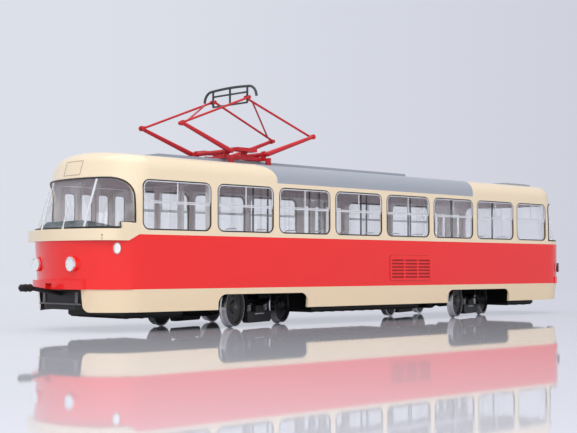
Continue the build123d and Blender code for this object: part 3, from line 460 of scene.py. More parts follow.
ring_round = add_node(
    ring_tree,
    "GeometryNodeFilletCurve",
    {"Curve": ring_real.outputs[0], "Count": 7, "Radius": ring_radius.outputs[0]},
    mode="POLY",
)
ring_profile = add_node(
    ring_tree, "GeometryNodeCurvePrimitiveCircle", {"Resolution": 8, "Radius": ring_in.outputs["Bar Radius"]}
)
ring_tube = add_node(
    ring_tree,
    "GeometryNodeCurveToMesh",
    {"Curve": ring_round.outputs[0], "Profile Curve": ring_profile.outputs[0]},
)
end_tree(ring_tree, ring_in, ring_out, ring_tube.outputs[0])

# Grain: the fine sand-blasted skin of unpainted mouldings and rubber
grain, grain_in, grain_out = group_of(
    "moulded_grain",
    {
        "Tone": "NodeSocketColor",
        "Worn Tone": "NodeSocketColor",
        "Grain Scale": "NodeSocketFloat",
        "Dullness": "NodeSocketFloat",
    },
    {"Color": "NodeSocketColor", "Roughness": "NodeSocketFloat", "Height": "NodeSocketFloat"},
)
grain_place = add_node(grain, "ShaderNodeTexCoord").outputs["Object"]
grain_fine = add_node(
    grain, "ShaderNodeTexNoise", {"Vector": grain_place, "Scale": grain_in.outputs["Grain Scale"], "Detail": 4.0}
)
grain_broad = add_node(grain, "ShaderNodeTexNoise", {"Vector": grain_place, "Scale": 140.0, "Detail": 3.0})
grain_ramp = add_node(
    grain, "ShaderNodeMapRange", {"Value": grain_broad.outputs[0], "From Min": 0.4, "From Max": 0.75}
)
grain_tone = mix_colours(grain, grain_ramp.outputs[0], grain_in.outputs["Tone"], grain_in.outputs["Worn Tone"])
grain_rough = calculate(grain, "MULTIPLY", grain_broad.outputs[0], 0.15)
grain.links.new(grain_tone, grain_out.inputs["Color"])
grain.links.new(calculate(grain, "ADD", grain_in.outputs["Dullness"], grain_rough), grain_out.inputs["Roughness"])
grain.links.new(grain_fine.outputs[0], grain_out.inputs["Height"])


def moulded(name, tone, worn, dullness, metallic=0.0, grain_scale=2600.0, bump_strength=0.25, top=None):
    """Bare moulding, rubber or plain metal with a fine grain; faces that look up may have a tone of their own."""
    material, tree, shader = shader_of(name, {"Metallic": metallic, "IOR": 1.47})
    skin_layer = add_node(tree, "ShaderNodeGroup", node_tree=grain)
    skin_layer.inputs["Tone"].default_value = tone
    skin_layer.inputs["Worn Tone"].default_value = worn
    skin_layer.inputs["Grain Scale"].default_value = grain_scale
    skin_layer.inputs["Dullness"].default_value = dullness
    colour = skin_layer.outputs["Color"]
    if top is not None:
        normal = add_node(tree, "ShaderNodeNewGeometry").outputs["Normal"]
        upward = add_node(tree, "ShaderNodeSeparateXYZ", {0: normal}).outputs["Z"]
        colour = mix_colours(tree, calculate(tree, "GREATER_THAN", upward, 0.5), colour, top)
    tree.links.new(colour, shader.inputs["Base Color"])
    tree.links.new(skin_layer.outputs["Roughness"], shader.inputs["Roughness"])
    bump = add_node(
        tree,
        "ShaderNodeBump",
        {"Height": skin_layer.outputs["Height"], "Strength": bump_strength, "Distance": 0.00003},
    )
    tree.links.new(bump.outputs[0], shader.inputs["Normal"])
    return material


seal_rubber = moulded("seal_rubber", (0.018, 0.018, 0.02, 1), (0.03, 0.03, 0.033, 1), 0.4)
bright_trim = moulded(
    "bright_trim", (0.84, 0.85, 0.87, 1), (0.76, 0.77, 0.80, 1), 0.18, metallic=0.45, grain_scale=900.0
)

window_bottom_z = 0.0398
window_top_z = 0.0594
window_corner = 0.003
sash_bottom_z = 0.0504
bay_width = 0.0313
bay_pitch = 0.0347
# Bays from the driver's end: middle x and width
bays = [(0.1216, 0.0345)]
bays += [(0.0852 - bay_pitch * step, bay_width) for step in range(6)]
bays += [(-0.1204, 0.0265)]
door_bays = [bays[0], bays[4], bays[7]]
side_bays = {1: bays, -1: [bay for bay in bays if bay not in door_bays]}

wall_low, wall_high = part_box("window_wall_left")
eaves_half_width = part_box("roof_middle")[1].y
wall_slope = (wall_high.y - eaves_half_width) / (wall_high.z - wall_low.z)
wall_lean = math.atan(wall_slope)


def wall_y(z):
    """Outer face of the window wall at a height, on the driver's left."""
    return wall_high.y - wall_slope * (z - wall_low.z)


def bay_rings(name, rows, bottom, top, margin, sunk, radius, top_corner, foot_corner, finish, slot):
    """Rings for rows of side, middle x and width, set in from the opening's edge and sunk in the wall."""
    middle_z = (bottom + top) / 2
    points = [(x, side * (wall_y(middle_z) - sunk), middle_z) for side, x, width in rows]
    seed = mesh_object(name, points)
    carry(
        seed,
        width=[width - 2 * margin for side, x, width in rows],
        lean=[math.pi / 2 + side * wall_lean for side, x, width in rows],
    )
    return made_by(
        ring_tree,
        seed,
        "car",
        slot,
        height=(top - bottom - 2 * margin) / math.cos(wall_lean),
        top_corner=top_corner,
        foot_corner=foot_corner,
        split_z=middle_z,
        bar_radius=radius,
        finish=finish,
    )


bay_rows = [(side, x, width) for side, group in side_bays.items() for x, width in group]
bay_rings(
    "window_rubbers", bay_rows, window_bottom_z, window_top_z, 0.00012, 0.0002, 0.00032,
    window_corner, window_corner, seal_rubber, "black_plastic",
)
bay_rings(
    "sash_frames", bay_rows, sash_bottom_z, window_top_z, 0.0006, 0.00008, 0.00024,
    window_corner - 0.0006, 0.0005, bright_trim, "silver_trim",
)
finish_nodes(bright_trim, "window_bars", "wipers")

# Windscreen and rear window rubbers
# One black rubber round each wrap-round opening, pressed over the edge of the cream frame and following its
# bow. The lower run carries the two wiper spindles.
tube_tree, tube_in, tube_out = modifier_tree(
    "tube_along", {"Tube Radius": "NodeSocketFloat", "Sides": "NodeSocketInt"}
)
tube_curve = add_node(tube_tree, "GeometryNodeMeshToCurve", {"Mesh": tube_in.outputs["Geometry"]})
tube_profile = add_node(
    tube_tree,
    "GeometryNodeCurvePrimitiveCircle",
    {"Resolution": tube_in.outputs["Sides"], "Radius": tube_in.outputs["Tube Radius"]},
)
tube_body = add_node(
    tube_tree,
    "GeometryNodeCurveToMesh",
    {"Curve": tube_curve.outputs[0], "Profile Curve": tube_profile.outputs[0], "Fill Caps": True},
)
end_tree(tube_tree, tube_in, tube_out, tube_body.outputs[0])


def tubes(name, paths, radius, finish, slot, body="car", closed=False, sides=8):
    """Round bars or rubbers along rows of points, all of one radius and on one body."""
    points = []
    edges = []
    for path in paths:
        first = len(points)
        points += [Vector(p) for p in path]
        edges += [(first + i, first + i + 1) for i in range(len(path) - 1)]
        if closed:
            edges.append((first + len(path) - 1, first))
    seed = mesh_object(name, points, edges)
    return made_by(tube_tree, seed, body, slot, tube_radius=radius, sides=sides, finish=finish)


# Plan of the window band at each end: furthest x, radius of the bowed face, radius of the corners
sill_plans = {1: (0.1594, 0.064, 0.010), -1: (0.1596, 0.040, 0.019)}
eaves_plans = {1: (0.15275, 0.050, 0.015), -1: (0.1528, 0.040, 0.019)}
side_run = 0.02


def plan_point(nose, bow, corner, half, turn):
    """Point of an end's plan: turn 0 to 1 goes over the bowed face, to 2 round the corner, to 3 along the side."""
    rise = half - corner
    run = math.sqrt((bow - corner) ** 2 - rise ** 2)
    meet = math.atan2(rise, run)
    centre = nose - bow + run
    if turn <= 1:
        return nose - bow + bow * math.cos(meet * turn), bow * math.sin(meet * turn)
    if turn <= 2:
        angle = meet + (math.pi / 2 - meet) * (turn - 1)
        return centre + corner * math.cos(angle), rise + corner * math.sin(angle)
    return centre - (turn - 2) * side_run, half


def band_point(way, turn, z):
    """Point on the window band's outer face at an end of the car, on the driver's left."""
    share = (z - wall_low.z) / (wall_high.z - wall_low.z)
    low = Vector(plan_point(*sill_plans[way], wall_high.y, turn))
    high = Vector(plan_point(*eaves_plans[way], eaves_half_width, turn))
    x, y = low.lerp(high, share)
    return Vector((way * x, y, z))


def turn_at(way, x, z):
    """How far round an end the band's outer face has come back to a distance along the car."""
    low, high = 0.0, 3.0
    for _ in range(40):
        middle = (low + high) / 2
        if abs(band_point(way, middle, z).x) > x:
            low = middle
        else:
            high = middle
    return low


def screen_loop(way, rear_x, bottom_z, side_bottom_z, step_x, top_z, corner):
    """Closed path round a wrap-round window: along the bottom, up one side, along the top and down the other."""
    across = 28
    rise = 6
    edge = turn_at(way, step_x, bottom_z)
    left = [band_point(way, edge * i / across, bottom_z) for i in range(across + 1)]
    if side_bottom_z > bottom_z:
        sill_xs = [step_x + (rear_x - step_x) * i / 4 for i in range(4)]
        left += [band_point(way, turn_at(way, x, side_bottom_z), side_bottom_z) for x in sill_xs]
    turn_z = top_z - corner
    side_zs = [side_bottom_z + (turn_z - side_bottom_z) * i / rise for i in range(rise + 1)]
    left += [band_point(way, turn_at(way, rear_x, z), z) for z in side_zs]
    for i in range(1, 9):
        angle = math.pi / 2 * i / 8
        x = rear_x + corner * (1 - math.cos(angle))
        z = turn_z + corner * math.sin(angle)
        left.append(band_point(way, turn_at(way, x, z), z))
    top_turn = turn_at(way, rear_x + corner, top_z)
    left += [band_point(way, top_turn * (1 - i / across), top_z) for i in range(1, across + 1)]
    right = [Vector((p.x, -p.y, p.z)) for p in left[1:-1]]
    return left + right[::-1]


screen_rear_x = 0.1424
screen_step_x = 0.1486
screen_bottom_z = 0.0399
screen_foot_z = 0.0405
screen_side_bottom_z = 0.0424
screen_top_z = 0.0600
screen_corner = 0.0075
rear_window_x = 0.1364
rear_window_corner = 0.00375
screen_loops = [
    screen_loop(1, screen_rear_x, screen_foot_z, screen_side_bottom_z, screen_step_x, screen_top_z, screen_corner),
    screen_loop(
        -1, rear_window_x, screen_bottom_z, screen_bottom_z, rear_window_x, screen_top_z, rear_window_corner
    ),
]
tubes("end_window_rubbers", screen_loops, 0.00034, seal_rubber, "black_plastic", closed=True)

# Fasteners and small plates
# Hexagon bolts, and thin plates, slats and lids with eased corners, are put on in rows: each copy stands on
# its own point and is turned to face out of what carries it.
bolt_tree, bolt_in, bolt_out = modifier_tree(
    "bolt_heads",
    {
        "Bolt Radius": "NodeSocketFloat",
        "Crown Radius": "NodeSocketFloat",
        "Bolt Height": "NodeSocketFloat",
        "Sides": "NodeSocketInt",
    },
)
bolt_head = add_node(
    bolt_tree,
    "GeometryNodeMeshCone",
    {
        "Vertices": bolt_in.outputs["Sides"],
        "Radius Top": bolt_in.outputs["Crown Radius"],
        "Radius Bottom": bolt_in.outputs["Bolt Radius"],
        "Depth": bolt_in.outputs["Bolt Height"],
    },
)
bolt_turn = add_node(
    bolt_tree,
    "FunctionNodeAlignRotationToVector",
    {"Vector": column(bolt_tree, "out", "FLOAT_VECTOR")},
    axis="Z",
)
bolt_copies = add_node(
    bolt_tree,
    "GeometryNodeInstanceOnPoints",
    {
        "Points": bolt_in.outputs["Geometry"],
        "Instance": bolt_head.outputs["Mesh"],
        "Rotation": bolt_turn.outputs[0],
    },
)
end_tree(bolt_tree, bolt_in, bolt_out, bolt_copies.outputs[0], smooth=False)


def bolts(name, rows, radius, height, finish, slot, body="car", sides=6):
    """Bolt heads for rows of place and outward direction."""
    seed = mesh_object(name, [place for place, out in rows])
    carry(seed, out=[Vector(out) for place, out in rows])
    sizes = {"bolt_radius": radius, "crown_radius": radius * 0.82, "bolt_height": height, "sides": sides}
    return made_by(bolt_tree, seed, body, slot, finish=finish, **sizes)


plate_tree, plate_in, plate_out = modifier_tree("plate_rows", {"Eased Corner": "NodeSocketFloat"})
plate_square = add_node(plate_tree, "GeometryNodeCurvePrimitiveQuadrilateral", {"Width": 1.0, "Height": 1.0})
plate_outline = add_node(
    plate_tree,
    "GeometryNodeFilletCurve",
    {"Curve": plate_square.outputs[0], "Count": 3, "Radius": plate_in.outputs["Eased Corner"]},
    mode="POLY",
)
plate_line = add_node(plate_tree, "GeometryNodeCurvePrimitiveLine", {"Start": (0, 0, -0.5), "End": (0, 0, 0.5)})
plate_solid = add_node(
    plate_tree,
    "GeometryNodeCurveToMesh",
    {"Curve": plate_line.outputs[0], "Profile Curve": plate_outline.outputs[0], "Fill Caps": True},
)
plate_angle = add_node(plate_tree, "ShaderNodeCombineXYZ", {"Z": column(plate_tree, "turn")})
plate_turn = add_node(plate_tree, "FunctionNodeEulerToRotation", {0: plate_angle.outputs[0]})
plate_copies = add_node(
    plate_tree,
    "GeometryNodeInstanceOnPoints",
    {
        "Points": plate_in.outputs["Geometry"],
        "Instance": plate_solid.outputs[0],
        "Rotation": plate_turn.outputs[0],
        "Scale": column(plate_tree, "size", "FLOAT_VECTOR"),
    },
)
end_tree(plate_tree, plate_in, plate_out, plate_copies.outputs[0], smooth=False)


def plates(name, rows, finish, slot, body="car", turn=0.0, eased=0.12):
    """Plates for rows of middle and size, all turned by one angle about the upright."""
    seed = mesh_object(name, [middle for middle, size in rows])
    carry(seed, size=[Vector(size) for middle, size in rows], turn=[turn for _ in rows])
    return made_by(plate_tree, seed, body, slot, eased_corner=eased, finish=finish)


skins = {}


def skin(node, start, way):
    """Where a straight line first meets a CAD node, and the way that its face looks there."""
    if node not in skins:
        mesh = nodes[node].data
        faces = [tuple(face.vertices) for face in mesh.polygons]
        skins[node] = BVHTree.FromPolygons([vertex.co for vertex in mesh.vertices], faces)
    place, out, _, _ = skins[node].ray_cast(Vector(start), Vector(way))
    return place, out


# Roof fittings
# A blank destination box is pressed into the front of the roof, the walkway board is planked and screwed
# down, and the lid of the rear box has a seam and four screws.
# Dark brown for seams, and for the painted shade inside the drain holes.
seam_brown = moulded("seam_brown", (0.20, 0.16, 0.12, 1), (0.26, 0.21, 0.16, 1), 0.5)
sign_half_width = 0.0056
sign_bottom_z = 0.0616
sign_top_z = 0.0672
sign_steps = 10


def sign_path(half_width, bottom, top):
    """Closed rectangle on the front of the roof."""
    across = [half_width * (2 * i / sign_steps - 1) for i in range(sign_steps)]
    upward = [bottom + (top - bottom) * i / sign_steps for i in range(sign_steps)]
    corners = [(y, bottom) for y in across] + [(half_width, z) for z in upward]
    corners += [(-y, top) for y in across] + [(-half_width, top + bottom - z) for z in upward]
    return [skin("roof_front", (0.2, y, z), (-1, 0, 0))[0] for y, z in corners]


sign_loop = sign_path(sign_half_width, sign_bottom_z, sign_top_z)
tubes("destination_box_seam", [sign_loop], 0.00011, seam_brown, "cream_paint", closed=True, sides=6)

board_low, board_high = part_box("roof_board")
plank_count = 5
plank_gap = 0.0004
plank_height = 0.0002
plank_pitch = (board_high.y - board_low.y) / plank_count
board_length = board_high.x - board_low.x
board_middle_x = (board_high.x + board_low.x) / 2
plank_rows = [
    (
        (board_middle_x, board_low.y + plank_pitch * (i + 0.5), board_high.z + plank_height / 2),
        (board_length - plank_gap, plank_pitch - plank_gap, plank_height),
    )
    for i in range(plank_count)
]
plates("walkway_planks", plank_rows, grey_fittings, "grey_paint", eased=0.02)
screw_steps = 9
screw_rows = []
for i in range(screw_steps):
    screw_x = board_low.x + board_length * (i + 0.5) / screw_steps
    for side in (1, -1):
        screw_y = side * (board_high.y - plank_pitch / 2)
        screw_rows.append(((screw_x, screw_y, board_high.z + plank_height), (0, 0, 1)))
bolts("walkway_screws", screw_rows, 0.0004, 0.0002, bright_trim, "silver_trim")

roof_box_low, roof_box_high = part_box("roof_box")
roof_lid_margin = 0.0012
roof_lid_height = 0.0003
roof_lid_middle = ((roof_box_low.x + roof_box_high.x) / 2, 0, roof_box_high.z + roof_lid_height / 2)
roof_lid_length = roof_box_high.x - roof_box_low.x - 2 * roof_lid_margin
roof_lid_width = roof_box_high.y - roof_box_low.y - 2 * roof_lid_margin
roof_lid_size = (roof_lid_length, roof_lid_width, roof_lid_height)
plates("roof_box_lid", [(roof_lid_middle, roof_lid_size)], grey_fittings, "grey_paint", eased=0.08)
roof_lid_xs = (roof_box_low.x + 0.003, roof_box_high.x - 0.003)
roof_lid_ys = (roof_box_low.y + 0.003, roof_box_high.y - 0.003)
roof_lid_corners = [(x, y) for x in roof_lid_xs for y in roof_lid_ys]
roof_lid_rows = [((x, y, roof_box_high.z + roof_lid_height), (0, 0, 1)) for x, y in roof_lid_corners]
bolts("roof_box_screws", roof_lid_rows, 0.0005, 0.0003, bright_trim, "silver_trim")

# Belt ledge fittings
# The cream ledge under the windscreen is one moulding: a small drain hole with a seam below it marks each
# of its rounded corners. Each hole is a dark brown cap, painted shade inside the hole.
ledge_corner_x = 0.14834
ledge_corner_y = 0.0193
ledge_angle = math.radians(42.0)
drain_z = 0.0374
seam_zs = (0.0368, 0.0362, 0.0356)
drain_rows = []
seam_paths = []
for side in (1, -1):
    out = Vector((math.cos(ledge_angle), side * math.sin(ledge_angle), 0))
    outside = Vector((ledge_corner_x, side * ledge_corner_y, 0)) + out * 0.03
    drain_rows.append((skin("front_belt", outside + Vector((0, 0, drain_z)), -out)[0], out))
    seam_paths.append([skin("front_belt", outside + Vector((0, 0, z)), -out)[0] for z in seam_zs])
# Dark brown caps for the drain holes: painted shade inside the holes.
bolts("ledge_drains", drain_rows, 0.00035, 0.00015, seam_brown, "black_plastic", sides=10)
tubes("ledge_seams", seam_paths, 0.0001, seam_brown, "black_plastic", sides=6)

# Side ventilator
# A red grille of three fields glued to the left panel: its slots are dark red plates, painted shade of the duct
# behind, and a fine seam runs round the frame.
# Dark red for the painted slot shade, and for the seam round the frame.
duct_red = moulded("duct_red", (0.36, 0.008, 0.008, 1), (0.28, 0.006, 0.006, 1), 0.5)
vent_low, vent_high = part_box("vent_grille")
vent_border = 0.0012
vent_fields = 3
vent_slots = 6
vent_face_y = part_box("side_panel_left")[1].y
field_width = (vent_high.x - vent_low.x - (vent_fields + 1) * vent_border) / vent_fields
slot_pitch = (vent_high.z - vent_low.z - 2 * vent_border) / vent_slots
slot_size = (field_width - 0.0002, 0.0001, slot_pitch * 0.46)
slot_rows = []
for field in range(vent_fields):
    slot_x = vent_low.x + vent_border + field * (field_width + vent_border) + field_width / 2
    for slot in range(vent_slots):
        slot_z = vent_low.z + vent_border + slot_pitch * (slot + 0.25)
        slot_rows.append(((slot_x, vent_face_y + 0.00005, slot_z), slot_size))
# Dark red plates over the slots: painted shade in the recesses behind them.
plates("vent_ducts", slot_rows, duct_red, "red_paint", eased=0.05)
seam_corner = 0.0016
seam_loop = []
seam_turns = [
    (vent_high.x, vent_high.z),
    (vent_low.x, vent_high.z),
    (vent_low.x, vent_low.z),
    (vent_high.x, vent_low.z),
]
for quarter, (end_x, end_z) in enumerate(seam_turns):
    middle_angle = math.pi / 2 * (quarter + 0.5)
    arc_x = end_x - math.copysign(seam_corner, math.cos(middle_angle))
    arc_z = end_z - math.copysign(seam_corner, math.sin(middle_angle))
    for i in range(6):
        angle = math.pi / 2 * (quarter + i / 5)
        x = arc_x + seam_corner * math.cos(angle)
        z = arc_z + seam_corner * math.sin(angle)
        seam_loop.append((x, vent_face_y, z))
tubes("vent_seam", [seam_loop], 0.00014, duct_red, "red_paint", closed=True, sides=6)

# Lamps
# Round headlamps with chrome rims and fluted clear glasses over a bright bowl, small oval turn lamps on the
# front corners and dark red tail lamps, all pressed into the panels with thin chrome bezels.
lamp_chrome = moulded(
    "lamp_chrome", (0.88, 0.88, 0.88, 1), (0.82, 0.82, 0.83, 1), 0.08, metallic=0.7, bump_strength=0.02
)
lamp_lens, lens_tree, lens_shader = shader_of(
    "lamp_lens", {"Roughness": 0.08, "IOR": 1.5, "Coat Weight": 0.6, "Coat Roughness": 0.03}
)
lens_place = add_node(lens_tree, "ShaderNodeTexCoord").outputs["Object"]
lens_flutes = add_node(
    lens_tree,
    "ShaderNodeTexWave",
    {"Vector": lens_place, "Scale": 420.0, "Distortion": 0.0},
    bands_direction="Y",
)
lens_bump = add_node(
    lens_tree, "ShaderNodeBump", {"Height": lens_flutes.outputs[0], "Strength": 0.5, "Distance": 0.0002}
)
lens_tone = mix_colours(lens_tree, lens_flutes.outputs[0], (0.92, 0.95, 0.96, 1), (0.82, 0.86, 0.89, 1))
lens_tree.links.new(lens_tone, lens_shader.inputs["Base Color"])
lens_tree.links.new(lens_bump.outputs[0], lens_shader.inputs["Normal"])
turn_glass = moulded("turn_glass", (0.86, 0.85, 0.83, 1), (0.78, 0.77, 0.76, 1), 0.1, bump_strength=0.05)
tail_glass = moulded("tail_glass", (0.16, 0.004, 0.006, 1), (0.10, 0.003, 0.004, 1), 0.1, bump_strength=0.05)
finish_nodes(lamp_chrome, "headlamp_rims")
finish_nodes(lamp_lens, "headlamp_lenses")
finish_nodes(turn_glass, "turn_lamps")
finish_nodes(tail_glass, "tail_lamps")

panel_corner = 0.019
corner_lamp_turn = math.radians(62.0)
bezel_radius = 0.0002
bezel_steps = 24
# Corner lamps: node, end of the car, middle x of the corner's arc, height, half height, half width
corner_lamps = [
    ("front_panel", 1, 0.14044, 0.0324, 0.0019, 0.0011),
    ("rear_panel", -1, -0.13844, 0.0252, 0.0025, 0.0023),
]
bezels = []
for node, way, corner_x, height, half_height, half_width in corner_lamps:
    for side in (1, -1):
        out = Vector((way * math.cos(corner_lamp_turn), side * math.sin(corner_lamp_turn), 0))
        along = Vector((-out.y, out.x, 0))
        middle = Vector((corner_x, side * (wall_high.y - panel_corner), height)) + out * (panel_corner + 0.01)
        path = []
        for i in range(bezel_steps):
            angle = 2 * math.pi * i / bezel_steps
            offset = along * (half_width + bezel_radius) * math.cos(angle)
            offset += Vector((0, 0, (half_height + bezel_radius) * math.sin(angle)))
            path.append(skin(node, middle + offset, -out)[0])
        bezels.append(path)
tubes("corner_lamp_bezels", bezels, bezel_radius, lamp_chrome, "lamp_chrome", closed=True)

# Couplers and aprons
# Black mouldings under each bumper: a recess plate between the skirt's corners and a bar with a knob for
# the next car. A grey guard bar hangs across each recess on two straps.
underframe_black = moulded(
    "underframe_black", (0.004, 0.004, 0.004, 1), (0.009, 0.008, 0.008, 1), 0.42
)
floor_plastic = moulded(
    "floor_plastic", (0.012, 0.012, 0.013, 1), (0.022, 0.021, 0.021, 1), 0.4, top=(0.36, 0.31, 0.30, 1)
)
guard_grey = moulded("guard_grey", (0.10, 0.105, 0.115, 1), (0.14, 0.145, 0.155, 1), 0.35)
finish_nodes(underframe_black, "aprons", "couplers", "underfloor_boxes")
finish_nodes(floor_plastic, "floor_pan")
apron_low, apron_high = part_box("aprons")
guard_radius = 0.0004
guard_z = 0.0109
strap_y = 0.0114
strap_size = (0.0004, 0.0018, 0.0046)
guard_paths = []
strap_rows = []
for face_x, way in ((apron_high.x, 1), (apron_low.x, -1)):
    guard_x = face_x + way * guard_radius
    guard_ys = (apron_low.y + guard_radius, apron_high.y - guard_radius)
    guard_paths.append([(guard_x, y, guard_z) for y in guard_ys])
    for side in (1, -1):
        strap_x = face_x + way * strap_size[0] / 2
        strap_rows.append(((strap_x, side * strap_y, guard_z + strap_size[2] / 2), strap_size))
tubes("guard_bars", guard_paths, guard_radius, guard_grey, "black_plastic")
plates("guard_straps", strap_rows, guard_grey, "black_plastic")
coupler_ring_x = 0.1716
coupler_z = 0.0172
coupler_ring_radius = 0.00142
ring_angles = [2 * math.pi * i / 20 for i in range(20)]
coupler_rings = [
    [
        (way * x, coupler_ring_radius * math.cos(angle), coupler_z + coupler_ring_radius * math.sin(angle))
        for angle in ring_angles
    ]
    for way in (1, -1)
    for x in (coupler_ring_x - 0.0008, coupler_ring_x + 0.0012)
]
tubes("coupler_rings", coupler_rings, 0.00016, underframe_black, "black_plastic", closed=True)

# Folding doors
# Four narrow leaves to a door, hung on the kerb side: each pane has a thin rubber, the leaves meet on
# rubber edges, and the middle pair has bright grab handles. A drip rail is glued over each doorway.
leaf_count = 4
leaf_gap = 0.0003
leaf_stile = 0.0015
leaf_pane_bottom_z = 0.027
leaf_bottom_z = 0.0094
door_sunk = 0.0004
pane_top_z = window_top_z - 2 * leaf_stile
pane_rows = []
edge_paths = []
handle_paths = []
drip_paths = []
door_y = -(wall_y(window_bottom_z) - door_sunk)
for door_x, door_width in door_bays:
    leaf_width = door_width / leaf_count
    for leaf in range(leaf_count):
        leaf_x = door_x - door_width / 2 + leaf_width * (leaf + 0.5)
        pane_rows.append((-1, leaf_x, leaf_width - leaf_gap - 2 * leaf_stile))
        if leaf:
            edge_x = leaf_x - leaf_width / 2
            edge_paths.append([(edge_x, door_y, leaf_bottom_z), (edge_x, door_y, window_top_z - leaf_gap)])
    for side in (1, -1):
        grip_x = door_x + side * leaf_width / 4
        grip_zs = (leaf_pane_bottom_z - 0.0085, leaf_pane_bottom_z - 0.0015)
        grip_y = door_y - 0.0005
        handle_paths.append([
            (grip_x, door_y + 0.0002, grip_zs[0]),
            (grip_x, grip_y, grip_zs[0] + 0.0003),
            (grip_x, grip_y, grip_zs[1] - 0.0003),
            (grip_x, door_y + 0.0002, grip_zs[1]),
        ])
    rail_y = -(eaves_half_width + 0.0001)
    drip_paths.append([(door_x - door_width / 2, rail_y, eaves_z), (door_x + door_width / 2, rail_y, eaves_z)])
bay_rings(
    "door_pane_rubbers", pane_rows, leaf_pane_bottom_z, pane_top_z, 0.0, door_sunk + 0.0001, 0.0002,
    leaf_stile, leaf_stile, seal_rubber, "black_plastic",
)
tubes("door_edge_rubbers", edge_paths, 0.00022, seal_rubber, "black_plastic")
tubes("door_handles", handle_paths, 0.00022, bright_trim, "silver_trim")
tubes("door_drip_rails", drip_paths, 0.00028, cream_gloss, "cream_paint")

# Saloon fittings
# Mauve moulded seats on one pedestal each with bright grips on their backs, black grab poles joined by
# ceiling rails, a light cab partition and the driver's dark desk under its hood, all glued to the floor
# pan.
seat_plastic = moulded("seat_plastic", (0.66, 0.60, 0.62, 1), (0.58, 0.53, 0.55, 1), 0.45)
partition_plastic = moulded("partition_plastic", (0.86, 0.82, 0.80, 1), (0.80, 0.76, 0.75, 1), 0.4)
desk_plastic = moulded("desk_plastic", (0.06, 0.09, 0.095, 1), (0.04, 0.06, 0.07, 1), 0.4)
pole_black = moulded("pole_black", (0.03, 0.03, 0.035, 1), (0.045, 0.045, 0.05, 1), 0.3)
finish_nodes(seat_plastic, "seats")
finish_nodes(partition_plastic, "cab_partition")
finish_nodes(desk_plastic, "driver_desk")
finish_nodes(pole_black, "grab_poles")

seat_pitch = 0.0173
seats_a_side = 12
seat_depth = 0.008
seat_plate = 0.0014
seat_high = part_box("seats")[1]
seat_width = 0.009
grip_inset = 0.0015
grip_rise = 0.0016
first_seat_x = bays[1][0] + seat_pitch / 2
grip_paths = []
for step in range(seats_a_side):
    seat_x = first_seat_x - seat_pitch * step
    clear = all(abs(seat_x - x) > width / 2 + seat_depth for x, width in door_bays)
    back_x = seat_x - seat_depth / 2 - 1.5 * seat_plate
    for side in (1, -1):
        if side < 0 and not clear:
            continue
        outer_y = side * (seat_high.y - grip_inset)
        inner_y = side * (seat_high.y - seat_width + grip_inset)
        top_z = seat_high.z + grip_rise
        grip_paths.append([
            (back_x, outer_y, seat_high.z - grip_inset),
            (back_x, outer_y, top_z - 0.0004),
            (back_x, outer_y - side * 0.0004, top_z),
            (back_x, inner_y + side * 0.0004, top_z),
            (back_x, inner_y, top_z - 0.0004),
            (back_x, inner_y, seat_high.z - grip_inset),
        ])
tubes("seat_grips", grip_paths, 0.00025, bright_trim, "silver_trim")
pole_low, pole_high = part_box("grab_poles")
pole_radius = 0.00045
rail_z = pole_high.z - 0.0025
rail_paths = [
    [(x, side * (pole_high.y - pole_radius), rail_z) for x in (pole_low.x - 0.012, pole_high.x)]
    for side in (1, -1)
]
tubes("ceiling_rails", rail_paths, 0.0003, pole_black, "black_plastic")

# The hood rises behind the windscreen and falls away to the driver's left; rows of y and height of its rear edge
hood_edge = [(-0.0235, 0.0438), (0.004, 0.0438), (0.016, 0.0422), (0.0235, 0.0408)]
hood_inset = 0.0016
hood_rear_x = 0.1485
hood_foot_z = 0.0402
hood_points = []
for y, top_z in hood_edge:
    front_x = skin("windscreen", (0.2, y, hood_foot_z + 0.0005), (-1, 0, 0))[0].x - hood_inset
    hood_points += [(front_x, y, hood_foot_z + 0.0004), (hood_rear_x, y, top_z), (hood_rear_x, y, hood_foot_z)]
hood_faces = [(0, 2, 1), (9, 10, 11)]
for i in range(len(hood_edge) - 1):
    a, b = 3 * i, 3 * i + 3
    hood_faces += [(a, a + 1, b + 1, b), (a + 1, a + 2, b + 2, b + 1), (a + 2, a, b, b + 2)]
hood = mesh_object("desk_hood", hood_points, faces=hood_faces)
hood.data.materials.append(desk_plastic)
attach(hood, "car")

# Underfloor boxes
# Black mouldings hung below the floor between and beyond the bogies: cooling fins and screwed lids on their
# sides, stiffening ribs across their bottoms.
box_low, box_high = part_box("underfloor_boxes")
bogie_sweep = 0.037
pivot_x = 0.0744
box_ranges = [
    (box_low.x, -pivot_x - bogie_sweep),
    (-pivot_x + bogie_sweep, pivot_x - bogie_sweep),
    (pivot_x + bogie_sweep, box_high.x),
]
fin_pitch = 0.0024
fin_size = (0.0007, 0.0006, 0.0085)
fin_z = 0.0112
rib_pitch = 0.0068
rib_size = (0.0009, 0.034, 0.0005)
lid_size = (0.0115, 0.0005, 0.0082)
fin_rows = []
rib_rows = []
lid_rows = []
lid_bolts = []
for start_x, end_x in box_ranges:
    length = end_x - start_x
    ribs = round(length / rib_pitch)
    for i in range(ribs):
        rib_x = start_x + length * (i + 0.5) / ribs
        rib_rows.append(((rib_x, 0, box_low.z), rib_size))
    for side in (1, -1):
        lid_x = start_x + lid_size[0] / 2 + 0.0015
        lid_y = side * (box_high.y + lid_size[1] / 2)
        lid_rows.append(((lid_x, lid_y, fin_z), lid_size))
        for dx in (1, -1):
            for dz in (1, -1):
                spot = (lid_x + dx * 0.0048, side * (box_high.y + lid_size[1]), fin_z + dz * 0.0032)
                lid_bolts.append((spot, (0, side, 0)))
        fin_x = lid_x + lid_size[0] / 2 + fin_pitch
        while fin_x < end_x - fin_pitch / 2:
            fin_rows.append(((fin_x, side * (box_high.y + fin_size[1] / 2), fin_z), fin_size))
            fin_x += fin_pitch
